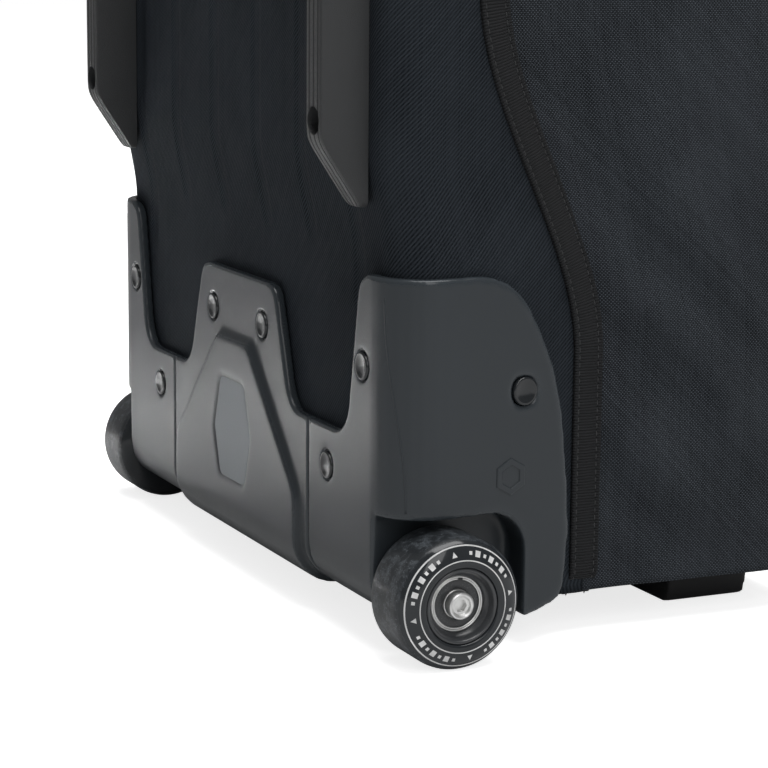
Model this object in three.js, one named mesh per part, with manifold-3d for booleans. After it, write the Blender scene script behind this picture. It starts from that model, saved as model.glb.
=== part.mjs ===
// A wheeled snowboard bag, standing on its wheeled end.
//
// Millimetres, +Z up along the bag, +Y towards its back (the side with the skid rails), X across.
// Everything is laid out with Y = 0 on the outer face of the kick plate and Z = 0 on the ground.
// The finished group is then moved along Y, so that the depth of the bag is centred on the origin.

import * as THREE from 'three';
import { mergeVertices } from 'three/addons/utils/BufferGeometryUtils.js';
import Module from 'manifold-3d';

const wasm = await Module();
wasm.setup();

// ---------------------------------------------------------------- driving dimensions

const GAP = 0.3;                 // clearance between pieces that rest on each other
const FAR = 4000;                // reach of a cutting prism, well past the bag
const SMALL_ROUND_SIDES = 16;    // facets round a fastener
const WHEEL_SIDES = 40;
const BEARING_SIDES = 24;

// Fabric shell
const SHELL_HEIGHT = 1690;       // outside of the bottom panel to outside of the top panel
const SHELL_WIDTH = 319;         // across the back
const SIDE_TAPER = 12;           // how far each side leans in between the back and the gusset
const TAPER_END_Y = -88;         // where that lean stops
const SHELL_DEPTH = 196;         // kick plate face to the front edge of the walls
const FLOOR_Z = 18;              // underside of the bottom panel above the ground
const WALL = 6;                  // padded wall
const BACK_FACE_Y = 1;           // back panel above the kick plate
const RECESS_Y = -5;             // back panel behind the kick plate
const RECESS_RAMP = 28;          // height over which the back panel steps back
const BACK_CORNER_R = 16;        // soft corner from the back to the sides
const SIDE_BLEND_R = 40;         // soft corner where the lean stops
const HEEL_R = 13;               // corner from the back to the bottom panel

// Seam between the tub and the front gusset, covered by a binding tape
const SEAM_UPPER_Y = -43;
const SEAM_LOWER_Y = -90;
const SEAM_BEND_TOP_Z = 258;
const SEAM_BEND_BOTTOM_Z = 115;
const SEAM_BEND_STEPS = 12;
const TAPE_WIDTH = 13;
const TAPE_THICKNESS = 1.5;

// Kick plate: a centre plate and a wheel housing at each side
const PLATE_THICKNESS = 4.7;
const TAB_TOP_Z = 132;           // top of the centre tab
const TAB_HALF_WIDTH = 42;
const VALLEY_Z = 83;             // the dips between the tab and the side towers
const VALLEY_INNER_X = 59;
const VALLEY_OUTER_FROM_SIDE = 43;
const TOWER_TOP_Z = 149;
const TOWER_EDGE_FROM_SIDE = 31;
const TOWER_R = 11;
const VALLEY_R = 14;
const TAB_R = 9;
const PARTING_FROM_SIDE = 81;    // joint lines between the centre plate and the housings
const PARTING_GAP = 0.5;
const SIDE_SHOULDER_Y = -52;     // outline of the housing on the side of the bag
const SIDE_SHOULDER_R = 28;
const SIDE_WAIST_Y = -74;
const SIDE_WAIST_Z = 112;
const SIDE_WAIST_R = 90;
const SIDE_EDGE_Y = -82;
const SIDE_EDGE_Z = 45;
const SIDE_EDGE_R = 150;
const SIDE_TOE_Y = -78;
const SIDE_TOE_R = 10;
const SOLE_FRONT_Y = -62;        // where the plate stops under the bag
const PANEL_PROUD = 3;           // raised centre panel of the plate
const PANEL_TOP_Z = 103.5;
const PANEL_TOP_HALF_WIDTH = 18;
const PANEL_TOP_R = 4;
const PANEL_KNEE_R = 12;
const PANEL_KNEE_Z = 50;
const PANEL_MARGIN = 7.5;        // between the raised panel and the joint lines

// Rivets that hold the kick plate
const RIVET_HEAD_R = 5.5;
const RIVET_SHANK_R = 2.2;
const RIVET_DISH = 0.6;
const RIVET_TAIL = 4;            // how far the shank goes into the padded wall
const TOWER_RIVET_FROM_SIDE = 27.7;
const TOWER_RIVET_Z = 112.5;
const VALLEY_RIVET_FROM_SIDE = 61.6;
const VALLEY_RIVET_Z = 67;
const TAB_RIVET_X = 28.7;
const TAB_RIVET_Z = 113.2;
const SIDE_RIVET_Y = -58;
const SIDE_RIVET_Z = 103;

// Skate wheels and their axles
const WHEEL_R = 26;
const WHEEL_WIDTH = 32.5;
const WHEEL_EDGE_R = 2.5;
const WHEEL_EDGE_MID = 0.75;     // how far the rounded edge sits inside its corner, halfway round
const WHEEL_CENTRE_Y = -22.4;
const WHEEL_PROUD = 17.5;        // wheel face outside the widest part of the shell
const CORE_R = 15;               // where the urethane tyre meets the hard core
const BEARING_R = 11;
const BEARING_BORE_R = 4;
const BEARING_WIDTH = 7;
const BEARING_RECESS = 5;        // bearing behind the face of the wheel
const SPACER_R = 5.6;
const BOLT_R = 3.8;
const BOLT_HEAD_R = 5.4;
const BOLT_HEAD_HEIGHT = 4;
const BOLT_HEAD_BEVEL = 0.95;
const SOCKET_R = 2.5;
const SOCKET_DEPTH = 2.5;
const NUT_R = 6.5;
const NUT_HEIGHT = 6;
const NUT_SIDES = 6;

// Wheel well moulded into each housing
const WELL_WALL = 3;
const WELL_SIDE_CLEARANCE = 2.5;  // between the wheel and the inner wall of the well
const ARCH_CLEARANCE = 4;        // over the wheel
const ARCH_FRONT_ROOM = 10.6;    // in front of the wheel
const ARCH_R = 16;
const BOSS_R = 11;               // the boss that carries the axle inside the bag
const BOSS_LENGTH = 26;
const NOTCH_MARGIN = 4;          // room cut from the bottom panel round the boss

// Skid rails
const RAIL_WIDTH = 15;
const RAIL_FROM_SIDE = 27.5;     // rail centre line from the side of the shell
const RAIL_HEIGHT = 19.8;        // proud of the back panel
const RAIL_BOTTOM_Z = 174.5;
const RAIL_TOP_CLEARANCE = 190;  // from the top of the shell
const RAIL_RAMP = 25.5;
const RAIL_TIP = 2.5;
const RAIL_KNEE_R = 6;
const RAIL_SCREW_INSET = 32.8;   // from each end of the rail
const SCREW_HEAD_R = 5.2;
const SCREW_HEAD_DEPTH = 6;
const SCREW_SHANK_R = 2.2;
const SCREW_TAIL = 6;

// Feet under the front edge of the bottom panel
const FOOT_WIDTH = 64;
const FOOT_LENGTH = 38;
const FOOT_X = 92;
const FOOT_FRONT_INSET = 8;
const FOOT_FLARE = 5;
const FOOT_EDGE_R = 2;

// Lid, main zip and lid pocket
const LID_THICKNESS = 11.7;
const LID_CORNER_R = 12;
const ZIP_WIDTH = 6;
const ZIP_THICKNESS = 3.4;
const POCKET_WIDTH = 214;
const POCKET_HEIGHT = 440;
const POCKET_FROM_TOP = 300;
const POCKET_THICKNESS = 10.7;
const POCKET_CORNER_R = 28;
const POCKET_SLIDER_TRAVEL_MARGIN = 20;

// Zip sliders and their pull tabs
const SLIDER_LENGTH = 16;
const SLIDER_WIDTH = 10;
const SLIDER_HEIGHT = 4;
const SLIDER_STANDOFF = 0.6;
const SLIDER_CORNER_R = 3;
const SLIDER_FROM_END = 30;
const LUG_THICKNESS = 1.6;
const LUG_HEIGHT = 4;
const LUG_LENGTH = 5;
const PULL_LENGTH = 42;
const PULL_WIDTH = 9;
const PULL_THICKNESS = 2.2;
const PULL_NECK_WIDTH = 4;
const PULL_NECK_LENGTH = 9;
const PULL_SHOULDER_R = 2;
const PULL_END_R = 3;
const POCKET_SLIDER_WIDTH = 8;
const POCKET_SLIDER_LENGTH = 14;
const POCKET_SLIDER_HEIGHT = 4.5;
const POCKET_SLIDER_R = 2;

// Webbing handles, one on the top panel and one on the left gusset
const HANDLE_SPAN = 150;         // outer edge to outer edge of its legs
const HANDLE_REACH = 58;         // hinge line to the far edge of the grip bar
const HANDLE_WEBBING = 20;
const HANDLE_THICKNESS = 3;
const GRIP_LENGTH = 92;
const GRIP_WIDTH = 28;
const GRIP_THICKNESS = 12;
const GRIP_EDGE_R = 5;
const LOOP_INNER_R = 6;
const LOOP_OUTER_R = 14;
const PATCH_LENGTH = 22;
const PATCH_PROUD = 5;
const PATCH_SEWN = 1;            // how far a patch reaches into its panel
const PIVOT_GAP = 0.8;
const TOP_HANDLE_Y = -72;
const SIDE_HANDLE_Y = -112;

// Liner and tie-down straps inside
const LINER_THICKNESS = 6;
const LINER_SIDE_ROOM = 18;
const LINER_BOTTOM_Z = 70;
const LINER_TOP_ROOM = 30;
const LINER_CORNER_R = 30;
const STRAP_WIDTH = 25;
const STRAP_THICKNESS = 1.7;
const STRAP_SIDE_ROOM = 6;
const LOWER_STRAP_Z = 520;
const UPPER_STRAP_Z = 1180;
const BUCKLE_HEIGHT = 8;
const BUCKLE_WIDTH = 32;
const CLIP_LENGTH = 34;
const TONGUE_LENGTH = 26;
const PRONG_LENGTH = 18;
const PRONG_WIDTH = 16;
const PRONG_THICKNESS = 3;
const PRONG_CLEARANCE = 0.6;
const PRONG_ROOT = 2.4;          // how far the prongs reach back into the tongue's body
const PRONG_END_ROOM = 2;
const BUCKLE_R = 4;

// ---------------------------------------------------------------- places worked out from them

const TOP_Z = FLOOR_Z + SHELL_HEIGHT;
const HALF_BACK = SHELL_WIDTH / 2;
const HALF_FRONT = HALF_BACK - SIDE_TAPER;
const FRONT_Y = -SHELL_DEPTH;
const PLATE_OUT = GAP + PLATE_THICKNESS;
const PARTING_X = HALF_BACK - PARTING_FROM_SIDE;
const PANEL_KNEE_X = PARTING_X - PANEL_MARGIN;
const INNER_BACK_Y = RECESS_Y - WALL;
const WHEEL_OUTER_X = HALF_BACK + WHEEL_PROUD;
const WHEEL_INNER_X = WHEEL_OUTER_X - WHEEL_WIDTH;
const WELL_SPACE_X = WHEEL_INNER_X - WELL_SIDE_CLEARANCE;
const WELL_INNER_X = WELL_SPACE_X - WELL_WALL;
const BOSS_END_X = WELL_INNER_X - BOSS_LENGTH;
const ARCH_FRONT_Y = WHEEL_CENTRE_Y - WHEEL_R - ARCH_FRONT_ROOM;
const NOTCH_FRONT_Y = Math.min(SOLE_FRONT_Y, ARCH_FRONT_Y - WELL_WALL) - NOTCH_MARGIN;
const NOTCH_X = BOSS_END_X - NUT_HEIGHT - NOTCH_MARGIN;
const LID_BACK_Y = FRONT_Y - GAP;
const LID_FRONT_Y = LID_BACK_Y - LID_THICKNESS;
const POCKET_FRONT_Y = LID_FRONT_Y - GAP - POCKET_THICKNESS;
const RAIL_BASE_Y = BACK_FACE_Y + GAP;
const RAIL_FACE_Y = BACK_FACE_Y + RAIL_HEIGHT;
const RAIL_X = HALF_BACK - RAIL_FROM_SIDE;
const RAIL_TOP_Z = TOP_Z - RAIL_TOP_CLEARANCE;
const LINER_FACE_Y = INNER_BACK_Y - GAP - LINER_THICKNESS;
const MIDDLE_Z = (FLOOR_Z + TOP_Z) / 2;
const SIDES = [['left', -1], ['right', 1]];

// ---------------------------------------------------------------- finishes

const FINISHES = {
  plate: [0x34383b, 0.55, 0],
  rail: [0x2b2d2f, 0.75, 0],
  dark_plastic: [0x17181a, 0.5, 0],
  urethane: [0x1c2024, 0.25, 0],
  core: [0x2a2c2f, 0.45, 0],
  steel: [0xb8babc, 0.3, 1],
  tub_fabric: [0x1b2024, 0.9, 0],
  gusset_fabric: [0x2a3035, 0.9, 0],
  webbing: [0x121315, 0.85, 0],
  lining: [0x3a3e42, 0.9, 0],
};

function finish(name) {
  const [color, roughness, metalness] = FINISHES[name];
  return new THREE.MeshStandardMaterial({ color, roughness, metalness });
}

// ---------------------------------------------------------------- solids

function toSolid(geometry) {
  const bare = geometry.clone();
  bare.deleteAttribute('normal');
  bare.deleteAttribute('uv');
  const merged = mergeVertices(bare, 1e-4);
  const vertProperties = new Float32Array(merged.attributes.position.array);
  const triVerts = new Uint32Array(merged.index.array);
  return new wasm.Manifold(new wasm.Mesh({ numProp: 3, vertProperties, triVerts }));
}

function toGeometry(solid) {
  const mesh = solid.getMesh();
  const geometry = new THREE.BufferGeometry();
  geometry.setAttribute('position', new THREE.BufferAttribute(mesh.vertProperties, 3));
  geometry.setIndex(new THREE.BufferAttribute(mesh.triVerts, 1));
  geometry.computeVertexNormals();
  return geometry;
}

// Points of a circular fillet of radius r in the corner between two straight edges.
function filletPoints(before, corner, after, r) {
  const toBefore = before.clone().sub(corner).normalize();
  const toAfter = after.clone().sub(corner).normalize();
  const half = Math.acos(THREE.MathUtils.clamp(toBefore.dot(toAfter), -1, 1)) / 2;
  const reach = r / Math.tan(half);
  const bisector = toBefore.clone().add(toAfter).normalize();
  const centre = corner.clone().addScaledVector(bisector, r / Math.sin(half));
  const start = corner.clone().addScaledVector(toBefore, reach).sub(centre);
  const end = corner.clone().addScaledVector(toAfter, reach).sub(centre);
  const sweep = Math.atan2(start.cross(end), start.dot(end));
  const steps = Math.max(2, Math.ceil(Math.abs(sweep) / (Math.PI / 12)));
  const points = [];
  for (let i = 0; i <= steps; i += 1) {
    points.push(start.clone().rotateAround(new THREE.Vector2(), (sweep * i) / steps).add(centre));
  }
  return points;
}

// A closed outline from corners given as [u, v] or [u, v, fillet radius].
function outline(corners) {
  const at = (i) => new THREE.Vector2(...corners[(i + corners.length) % corners.length].slice(0, 2));
  const rounded = (r, i) => (r ? filletPoints(at(i - 1), at(i), at(i + 1), r) : [at(i)]);
  const points = corners.flatMap(([, , r], i) => rounded(r, i));
  return new THREE.Shape(points);
}

function extruded(shape, length) {
  return new THREE.ExtrudeGeometry(shape, { depth: length, bevelEnabled: false });
}

// Prisms of an outline drawn in the XY, XZ or YZ plane.
function prismZ(shape, z0, z1) {
  return toSolid(extruded(shape, z1 - z0).translate(0, 0, z0));
}

function prismY(shape, y0, y1) {
  return toSolid(extruded(shape, y1 - y0).rotateX(Math.PI / 2).translate(0, y1, 0));
}

function prismX(shape, x0, x1) {
  const turn = new THREE.Matrix4().makeBasis(
    new THREE.Vector3(0, 1, 0),
    new THREE.Vector3(0, 0, 1),
    new THREE.Vector3(1, 0, 0),
  );
  return toSolid(extruded(shape, x1 - x0).applyMatrix4(turn).translate(x0, 0, 0));
}

function block(low, high) {
  const [x, y, z] = high.map((value, i) => value - low[i]);
  const middle = high.map((value, i) => (value + low[i]) / 2);
  return toSolid(new THREE.BoxGeometry(x, y, z).translate(...middle));
}

function rectangle(u0, v0, u1, v1, r) {
  return outline([[u0, v0, r], [u1, v0, r], [u1, v1, r], [u0, v1, r]]);
}

// A solid of revolution about +Z from [radius, height] points that start and end on the axis.
function turned(profile, sides = SMALL_ROUND_SIDES) {
  const points = profile.map(([r, z]) => new THREE.Vector2(r, z));
  return new THREE.LatheGeometry(points, sides).rotateX(Math.PI / 2);
}

// A ring about +Z, with a closed rectangular section.
function ring(innerR, outerR, z0, z1, sides = SMALL_ROUND_SIDES) {
  return turned([[innerR, z0], [outerR, z0], [outerR, z1], [innerR, z1], [innerR, z0]], sides);
}

// The matrix that puts a part made about +Z at a point, with its axis along a direction.
function aimed(position, direction) {
  const turn = new THREE.Quaternion().setFromUnitVectors(
    new THREE.Vector3(0, 0, 1),
    new THREE.Vector3(...direction).normalize(),
  );
  return new THREE.Matrix4().compose(new THREE.Vector3(...position), turn, new THREE.Vector3(1, 1, 1));
}

// ---------------------------------------------------------------- the bag

const bag = new THREE.Group();

function place(name, shape, finishName, matrix) {
  const geometry = shape instanceof THREE.BufferGeometry ? shape : toGeometry(shape);
  const mesh = new THREE.Mesh(geometry, finish(finishName));
  mesh.name = name;
  if (matrix) {
    matrix.decompose(mesh.position, mesh.quaternion, mesh.scale);
  }
  bag.add(mesh);
}

// Half of the bag's width at a depth: the sides lean in from the back to where the gusset begins.
function halfWidthAt(y) {
  const share = THREE.MathUtils.clamp((RECESS_Y - y) / (RECESS_Y - TAPER_END_Y), 0, 1);
  return HALF_BACK - SIDE_TAPER * share;
}

// The cross-section of the bag, moved outwards by `out`, from its back face to its front edge.
function section(backY, out) {
  const back = backY + out;
  const r = BACK_CORNER_R + out;
  const wide = HALF_BACK + out;
  const narrow = HALF_FRONT + out;
  return outline([
    [wide, back, r], [-wide, back, r], [-narrow, TAPER_END_Y, SIDE_BLEND_R], [-narrow, FRONT_Y],
    [narrow, FRONT_Y], [narrow, TAPER_END_Y, SIDE_BLEND_R],
  ]);
}

// The side profile that rounds the heel of the bag, moved outwards by `out`.
function heel(out) {
  const profile = outline([
    [RECESS_Y + out, FAR], [-FAR, FAR], [-FAR, FLOOR_Z - out], [RECESS_Y + out, FLOOR_Z - out, HEEL_R + out],
  ]);
  return prismX(profile, -FAR, FAR);
}

function seamY(z) {
  const share = THREE.MathUtils.smoothstep(z, SEAM_BEND_BOTTOM_Z, SEAM_BEND_TOP_Z);
  return THREE.MathUtils.lerp(SEAM_LOWER_Y, SEAM_UPPER_Y, share);
}

// Everything behind the seam, with the seam line moved along Y.
function behindSeam(shift) {
  const corners = [[FAR, -FAR], [FAR, FAR], [seamY(FAR) + shift, FAR]];
  const points = corners.map(([y, z]) => new THREE.Vector2(y, z));
  for (let i = 0; i <= SEAM_BEND_STEPS; i += 1) {
    const z = THREE.MathUtils.lerp(SEAM_BEND_TOP_Z, SEAM_BEND_BOTTOM_Z, i / SEAM_BEND_STEPS);
    points.push(new THREE.Vector2(seamY(z) + shift, z));
  }
  points.push(new THREE.Vector2(seamY(-FAR) + shift, -FAR));
  return prismX(new THREE.Shape(points), -FAR, FAR);
}

function sideHalf(sign) {
  return sign < 0 ? block([-FAR, -FAR, -FAR], [0, FAR, FAR]) : block([0, -FAR, -FAR], [FAR, FAR, FAR]);
}

// Outline of the opening for the wheel, seen from the side; it runs out through the back and the sole.
function archOutline(out) {
  const top = WHEEL_R + WHEEL_R + ARCH_CLEARANCE + out;
  const front = ARCH_FRONT_Y - out;
  return outline([[FAR, -FAR], [FAR, top], [front, top, ARCH_R + out], [front, -FAR]]);
}

function archCut(sign, out, innerX) {
  return sign < 0 ? prismX(archOutline(out), -FAR, -innerX) : prismX(archOutline(out), innerX, FAR);
}

// The C-shaped run of the main zip, made wider by `out`: up the left side and across both ends.
function zipRun(out) {
  const open = HALF_FRONT - WALL - GAP;
  const left = -HALF_FRONT - out;
  const inside = ZIP_WIDTH - HALF_FRONT + out;
  const low = FLOOR_Z - out;
  const high = TOP_Z + out;
  const width = ZIP_WIDTH + 2 * out;
  return outline([
    [left, low], [open, low], [open, low + width], [inside, low + width],
    [inside, high - width], [open, high - width], [open, high], [left, high],
  ]);
}

// ---------------------------------------------------------------- fasteners

// Rivet about +Z with its dished face at z = 0.
function rivetGeometry() {
  const tail = -PLATE_THICKNESS - RIVET_TAIL;
  return turned([
    [0, tail], [RIVET_SHANK_R, tail], [RIVET_SHANK_R, -PLATE_THICKNESS], [RIVET_HEAD_R, -PLATE_THICKNESS],
    [RIVET_HEAD_R, RIVET_DISH / 2], [RIVET_HEAD_R - RIVET_DISH, RIVET_DISH], [0, -RIVET_DISH / 2],
  ]);
}

// Room for a rivet: a clear hole through the plate and a tight one into the wall behind it.
function rivetRoom() {
  const bottom = -PLATE_THICKNESS - RIVET_TAIL - GAP;
  return turned([
    [0, bottom], [RIVET_SHANK_R + GAP, bottom], [RIVET_SHANK_R + GAP, -PLATE_THICKNESS - GAP],
    [RIVET_HEAD_R + GAP, -PLATE_THICKNESS - GAP], [RIVET_HEAD_R + GAP, WALL], [0, WALL],
  ]);
}

// Countersunk screw about +Z with its head flush at z = 0.
function railScrewGeometry() {
  const tail = -(RAIL_FACE_Y - RAIL_BASE_Y) - SCREW_TAIL;
  return turned([
    [0, tail], [SCREW_SHANK_R, tail], [SCREW_SHANK_R, -SCREW_HEAD_DEPTH], [SCREW_HEAD_R, -GAP],
    [SOCKET_R, -GAP], [0, -SOCKET_DEPTH],
  ]);
}

function railScrewRoom() {
  const bottom = -(RAIL_FACE_Y - RAIL_BASE_Y) - SCREW_TAIL - GAP;
  return turned([
    [0, bottom], [SCREW_SHANK_R + GAP, bottom], [SCREW_SHANK_R + GAP, -SCREW_HEAD_DEPTH - GAP],
    [SCREW_HEAD_R + GAP, -GAP], [SCREW_HEAD_R + GAP, WALL], [0, WALL],
  ]);
}

function rivetPlaces(side, sign) {
  const lean = Math.atan2(SIDE_TAPER, RECESS_Y - TAPER_END_Y);
  const sideX = halfWidthAt(SIDE_RIVET_Y) + PLATE_OUT / Math.cos(lean);
  return [
    [`rivet_tower_${side}`, aimed([sign * (HALF_BACK - TOWER_RIVET_FROM_SIDE), 0, TOWER_RIVET_Z], [0, 1, 0])],
    [
      `rivet_valley_${side}`,
      aimed([sign * (HALF_BACK - VALLEY_RIVET_FROM_SIDE), 0, VALLEY_RIVET_Z], [0, 1, 0]),
    ],
    [`rivet_tab_${side}`, aimed([sign * TAB_RIVET_X, 0, TAB_RIVET_Z], [0, 1, 0])],
    [
      `rivet_side_${side}`,
      aimed([sign * sideX, SIDE_RIVET_Y, SIDE_RIVET_Z], [sign * Math.cos(lean), -Math.sin(lean), 0]),
    ],
  ];
}

function railScrewPlaces(side, sign) {
  return [
    [
      `rail_screw_lower_${side}`,
      aimed([sign * RAIL_X, RAIL_FACE_Y, RAIL_BOTTOM_Z + RAIL_SCREW_INSET], [0, 1, 0]),
    ],
    [
      `rail_screw_upper_${side}`,
      aimed([sign * RAIL_X, RAIL_FACE_Y, RAIL_TOP_Z - RAIL_SCREW_INSET], [0, 1, 0]),
    ],
  ];
}

const RIVETS = SIDES.flatMap(([side, sign]) => rivetPlaces(side, sign));
const RAIL_SCREWS = SIDES.flatMap(([side, sign]) => railScrewPlaces(side, sign));

function cutAll(solid, room, places) {
  return places.reduce((rest, [, matrix]) => rest.subtract(toSolid(room().applyMatrix4(matrix))), solid);
}

function addFasteners() {
  for (const [name, matrix] of RIVETS) {
    place(name, rivetGeometry(), 'dark_plastic', matrix);
  }
  for (const [name, matrix] of RAIL_SCREWS) {
    place(name, railScrewGeometry(), 'steel', matrix);
  }
}

// ---------------------------------------------------------------- fabric shell

// A raised block on a panel, to which the two legs of a webbing handle are sewn.
function handlePatches() {
  const reach = HANDLE_SPAN / 2;
  const inside = reach - HANDLE_WEBBING;
  return [[-reach, -inside], [inside, reach]].map(([x0, x1]) => block(
    [x0, -PATCH_SEWN, -PATCH_LENGTH / 2],
    [x1, PATCH_PROUD, PATCH_LENGTH / 2],
  ));
}

// The handles are drawn with their span along X, their face towards +Y and their legs towards -Z.
const TOP_HANDLE_TURN = new THREE.Matrix4().makeBasis(
  new THREE.Vector3(1, 0, 0),
  new THREE.Vector3(0, 0, 1),
  new THREE.Vector3(0, -1, 0),
).setPosition(0, TOP_HANDLE_Y, TOP_Z);

const SIDE_HANDLE_TURN = new THREE.Matrix4().makeBasis(
  new THREE.Vector3(0, 0, -1),
  new THREE.Vector3(-1, 0, 0),
  new THREE.Vector3(0, 1, 0),
).setPosition(-HALF_FRONT, SIDE_HANDLE_Y, MIDDLE_Z);

function withPatches(panel, turn) {
  return handlePatches().reduce((sum, patch) => sum.add(patch.transform(turn.elements)), panel);
}

function shellWalls() {
  const outer = prismZ(section(BACK_FACE_Y, 0), FLOOR_Z, TOP_Z);
  const inner = prismZ(section(RECESS_Y, -WALL), -FAR, FAR);
  const mouth = block([-HALF_FRONT + WALL, FRONT_Y - WALL, -FAR], [HALF_FRONT - WALL, TAPER_END_Y, FAR]);
  const seatTop = TOWER_TOP_Z + GAP;
  const seat = block([-FAR, -FAR, -FAR], [FAR, FAR, seatTop])
    .subtract(prismZ(section(RECESS_Y, 0), -FAR, FAR));
  const ramp = prismX(outline([
    [RECESS_Y, seatTop], [FAR, seatTop], [FAR, seatTop + RECESS_RAMP], [BACK_FACE_Y, seatTop + RECESS_RAMP],
  ]), -FAR, FAR);
  return outer.subtract(inner).subtract(mouth).subtract(seat).subtract(ramp).intersect(heel(0));
}

function addShell() {
  const walls = shellWalls();
  const zipRoom = prismY(zipRun(GAP), FRONT_Y - WALL, FRONT_Y + ZIP_THICKNESS + GAP);
  let tub = walls.intersect(behindSeam(GAP / 2));
  for (const [side, sign] of SIDES) {
    tub = tub.subtract(archCut(sign, WELL_WALL + GAP, WELL_INNER_X - GAP))
      .subtract(axleSolid(sign, BOSS_R + GAP, NOTCH_X, WELL_SPACE_X));
    let gusset = walls.subtract(behindSeam(-GAP / 2)).intersect(sideHalf(sign));
    if (sign < 0) {
      gusset = withPatches(gusset.subtract(zipRoom), SIDE_HANDLE_TURN);
    }
    place(`gusset_${side}`, gusset, 'gusset_fabric');
  }
  place('back_tub', cutAll(cutAll(tub, rivetRoom, RIVETS), railScrewRoom, RAIL_SCREWS), 'tub_fabric');

  const fitted = section(RECESS_Y, -WALL - GAP);
  const notches = SIDES.map(([, sign]) => block(
    [sign < 0 ? -FAR : NOTCH_X, NOTCH_FRONT_Y, -FAR],
    [sign < 0 ? -NOTCH_X : FAR, FAR, FAR],
  ));
  const bottom = prismZ(fitted, FLOOR_Z, FLOOR_Z + WALL).subtract(zipRoom).intersect(heel(0));
  place('bottom_end_panel', notches.reduce((rest, notch) => rest.subtract(notch), bottom), 'gusset_fabric');
  const top = prismZ(fitted, TOP_Z - WALL, TOP_Z).subtract(zipRoom);
  place('top_end_panel', withPatches(top, TOP_HANDLE_TURN), 'gusset_fabric');
}

function addBindingTapes() {
  const outer = prismZ(section(RECESS_Y, GAP + TAPE_THICKNESS), FLOOR_Z, TOP_Z);
  const inner = prismZ(section(RECESS_Y, GAP), -FAR, FAR);
  const band = behindSeam(-TAPE_WIDTH / 2).subtract(behindSeam(TAPE_WIDTH / 2));
  for (const [side, sign] of SIDES) {
    place(`binding_tape_${side}`, outer.subtract(inner).intersect(band).intersect(sideHalf(sign)), 'webbing');
  }
}

// ---------------------------------------------------------------- kick plate

// Top edge of the kick plate seen from the back: centre tab, two valleys and a tower at each side.
function plateBackOutline() {
  const valleyX = HALF_BACK - VALLEY_OUTER_FROM_SIDE;
  const towerX = HALF_BACK - TOWER_EDGE_FROM_SIDE;
  const rightHalf = [
    [FAR, 0], [FAR, TOWER_TOP_Z], [towerX, TOWER_TOP_Z, TOWER_R], [valleyX, VALLEY_Z, VALLEY_R],
    [VALLEY_INNER_X, VALLEY_Z, VALLEY_R], [TAB_HALF_WIDTH, TAB_TOP_Z, TAB_R],
  ];
  const leftHalf = rightHalf.map(([x, z, r]) => [-x, z, r]).reverse();
  return outline([...rightHalf, ...leftHalf]);
}

function plateSideOutline() {
  return outline([
    [FAR, 0], [FAR, TOWER_TOP_Z], [SIDE_SHOULDER_Y, TOWER_TOP_Z, SIDE_SHOULDER_R],
    [SIDE_WAIST_Y, SIDE_WAIST_Z, SIDE_WAIST_R], [SIDE_EDGE_Y, SIDE_EDGE_Z, SIDE_EDGE_R],
    [SIDE_TOE_Y, FLOOR_Z, SIDE_TOE_R], [SOLE_FRONT_Y, FLOOR_Z - PLATE_OUT], [SOLE_FRONT_Y, 0],
  ]);
}

function raisedPanelOutline() {
  return outline([
    [PANEL_TOP_HALF_WIDTH, PANEL_TOP_Z, PANEL_TOP_R], [-PANEL_TOP_HALF_WIDTH, PANEL_TOP_Z, PANEL_TOP_R],
    [-PANEL_KNEE_X, PANEL_KNEE_Z, PANEL_KNEE_R], [-PANEL_KNEE_X, 0],
    [PANEL_KNEE_X, 0], [PANEL_KNEE_X, PANEL_KNEE_Z, PANEL_KNEE_R],
  ]);
}

function plateBody(out) {
  return prismZ(section(RECESS_Y, out), 0, FAR).intersect(heel(out));
}

function addKickPlate() {
  const hollow = plateBody(GAP);
  const trim = prismY(plateBackOutline(), -FAR, FAR).intersect(prismX(plateSideOutline(), -FAR, FAR));
  const skin = plateBody(PLATE_OUT).subtract(hollow).intersect(trim);

  const raised = prismY(raisedPanelOutline(), SOLE_FRONT_Y, FAR)
    .intersect(heel(PLATE_OUT + PANEL_PROUD))
    .subtract(heel(GAP));
  const centreReach = PARTING_X - PARTING_GAP / 2;
  const centre = skin.intersect(block([-centreReach, -FAR, 0], [centreReach, FAR, FAR])).add(raised);
  place('kick_plate_centre', cutAll(centre, rivetRoom, RIVETS), 'plate');

  for (const [side, sign] of SIDES) {
    const inboard = PARTING_X + PARTING_GAP / 2;
    const half = sign < 0
      ? block([-FAR, -FAR, 0], [-inboard, FAR, FAR])
      : block([inboard, -FAR, 0], [FAR, FAR, FAR]);
    const well = archCut(sign, WELL_WALL, WELL_INNER_X).intersect(plateBody(PLATE_OUT));
    const boss = axleSolid(sign, BOSS_R, BOSS_END_X, WELL_SPACE_X);
    const housing = skin.intersect(half).add(well).add(boss)
      .subtract(archCut(sign, 0, WELL_SPACE_X))
      .subtract(axleSolid(sign, BOLT_R + GAP, 0, FAR));
    place(`wheel_housing_${side}`, cutAll(housing, rivetRoom, RIVETS), 'plate');
  }
}

// ---------------------------------------------------------------- wheels

// A round bar about the axle, from one distance off the middle of the bag to another.
function axleSolid(sign, r, fromX, toX) {
  const bar = new THREE.CylinderGeometry(r, r, toX - fromX, SMALL_ROUND_SIDES).rotateZ(Math.PI / 2);
  return toSolid(bar.translate((sign * (fromX + toX)) / 2, WHEEL_CENTRE_Y, WHEEL_R));
}

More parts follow.
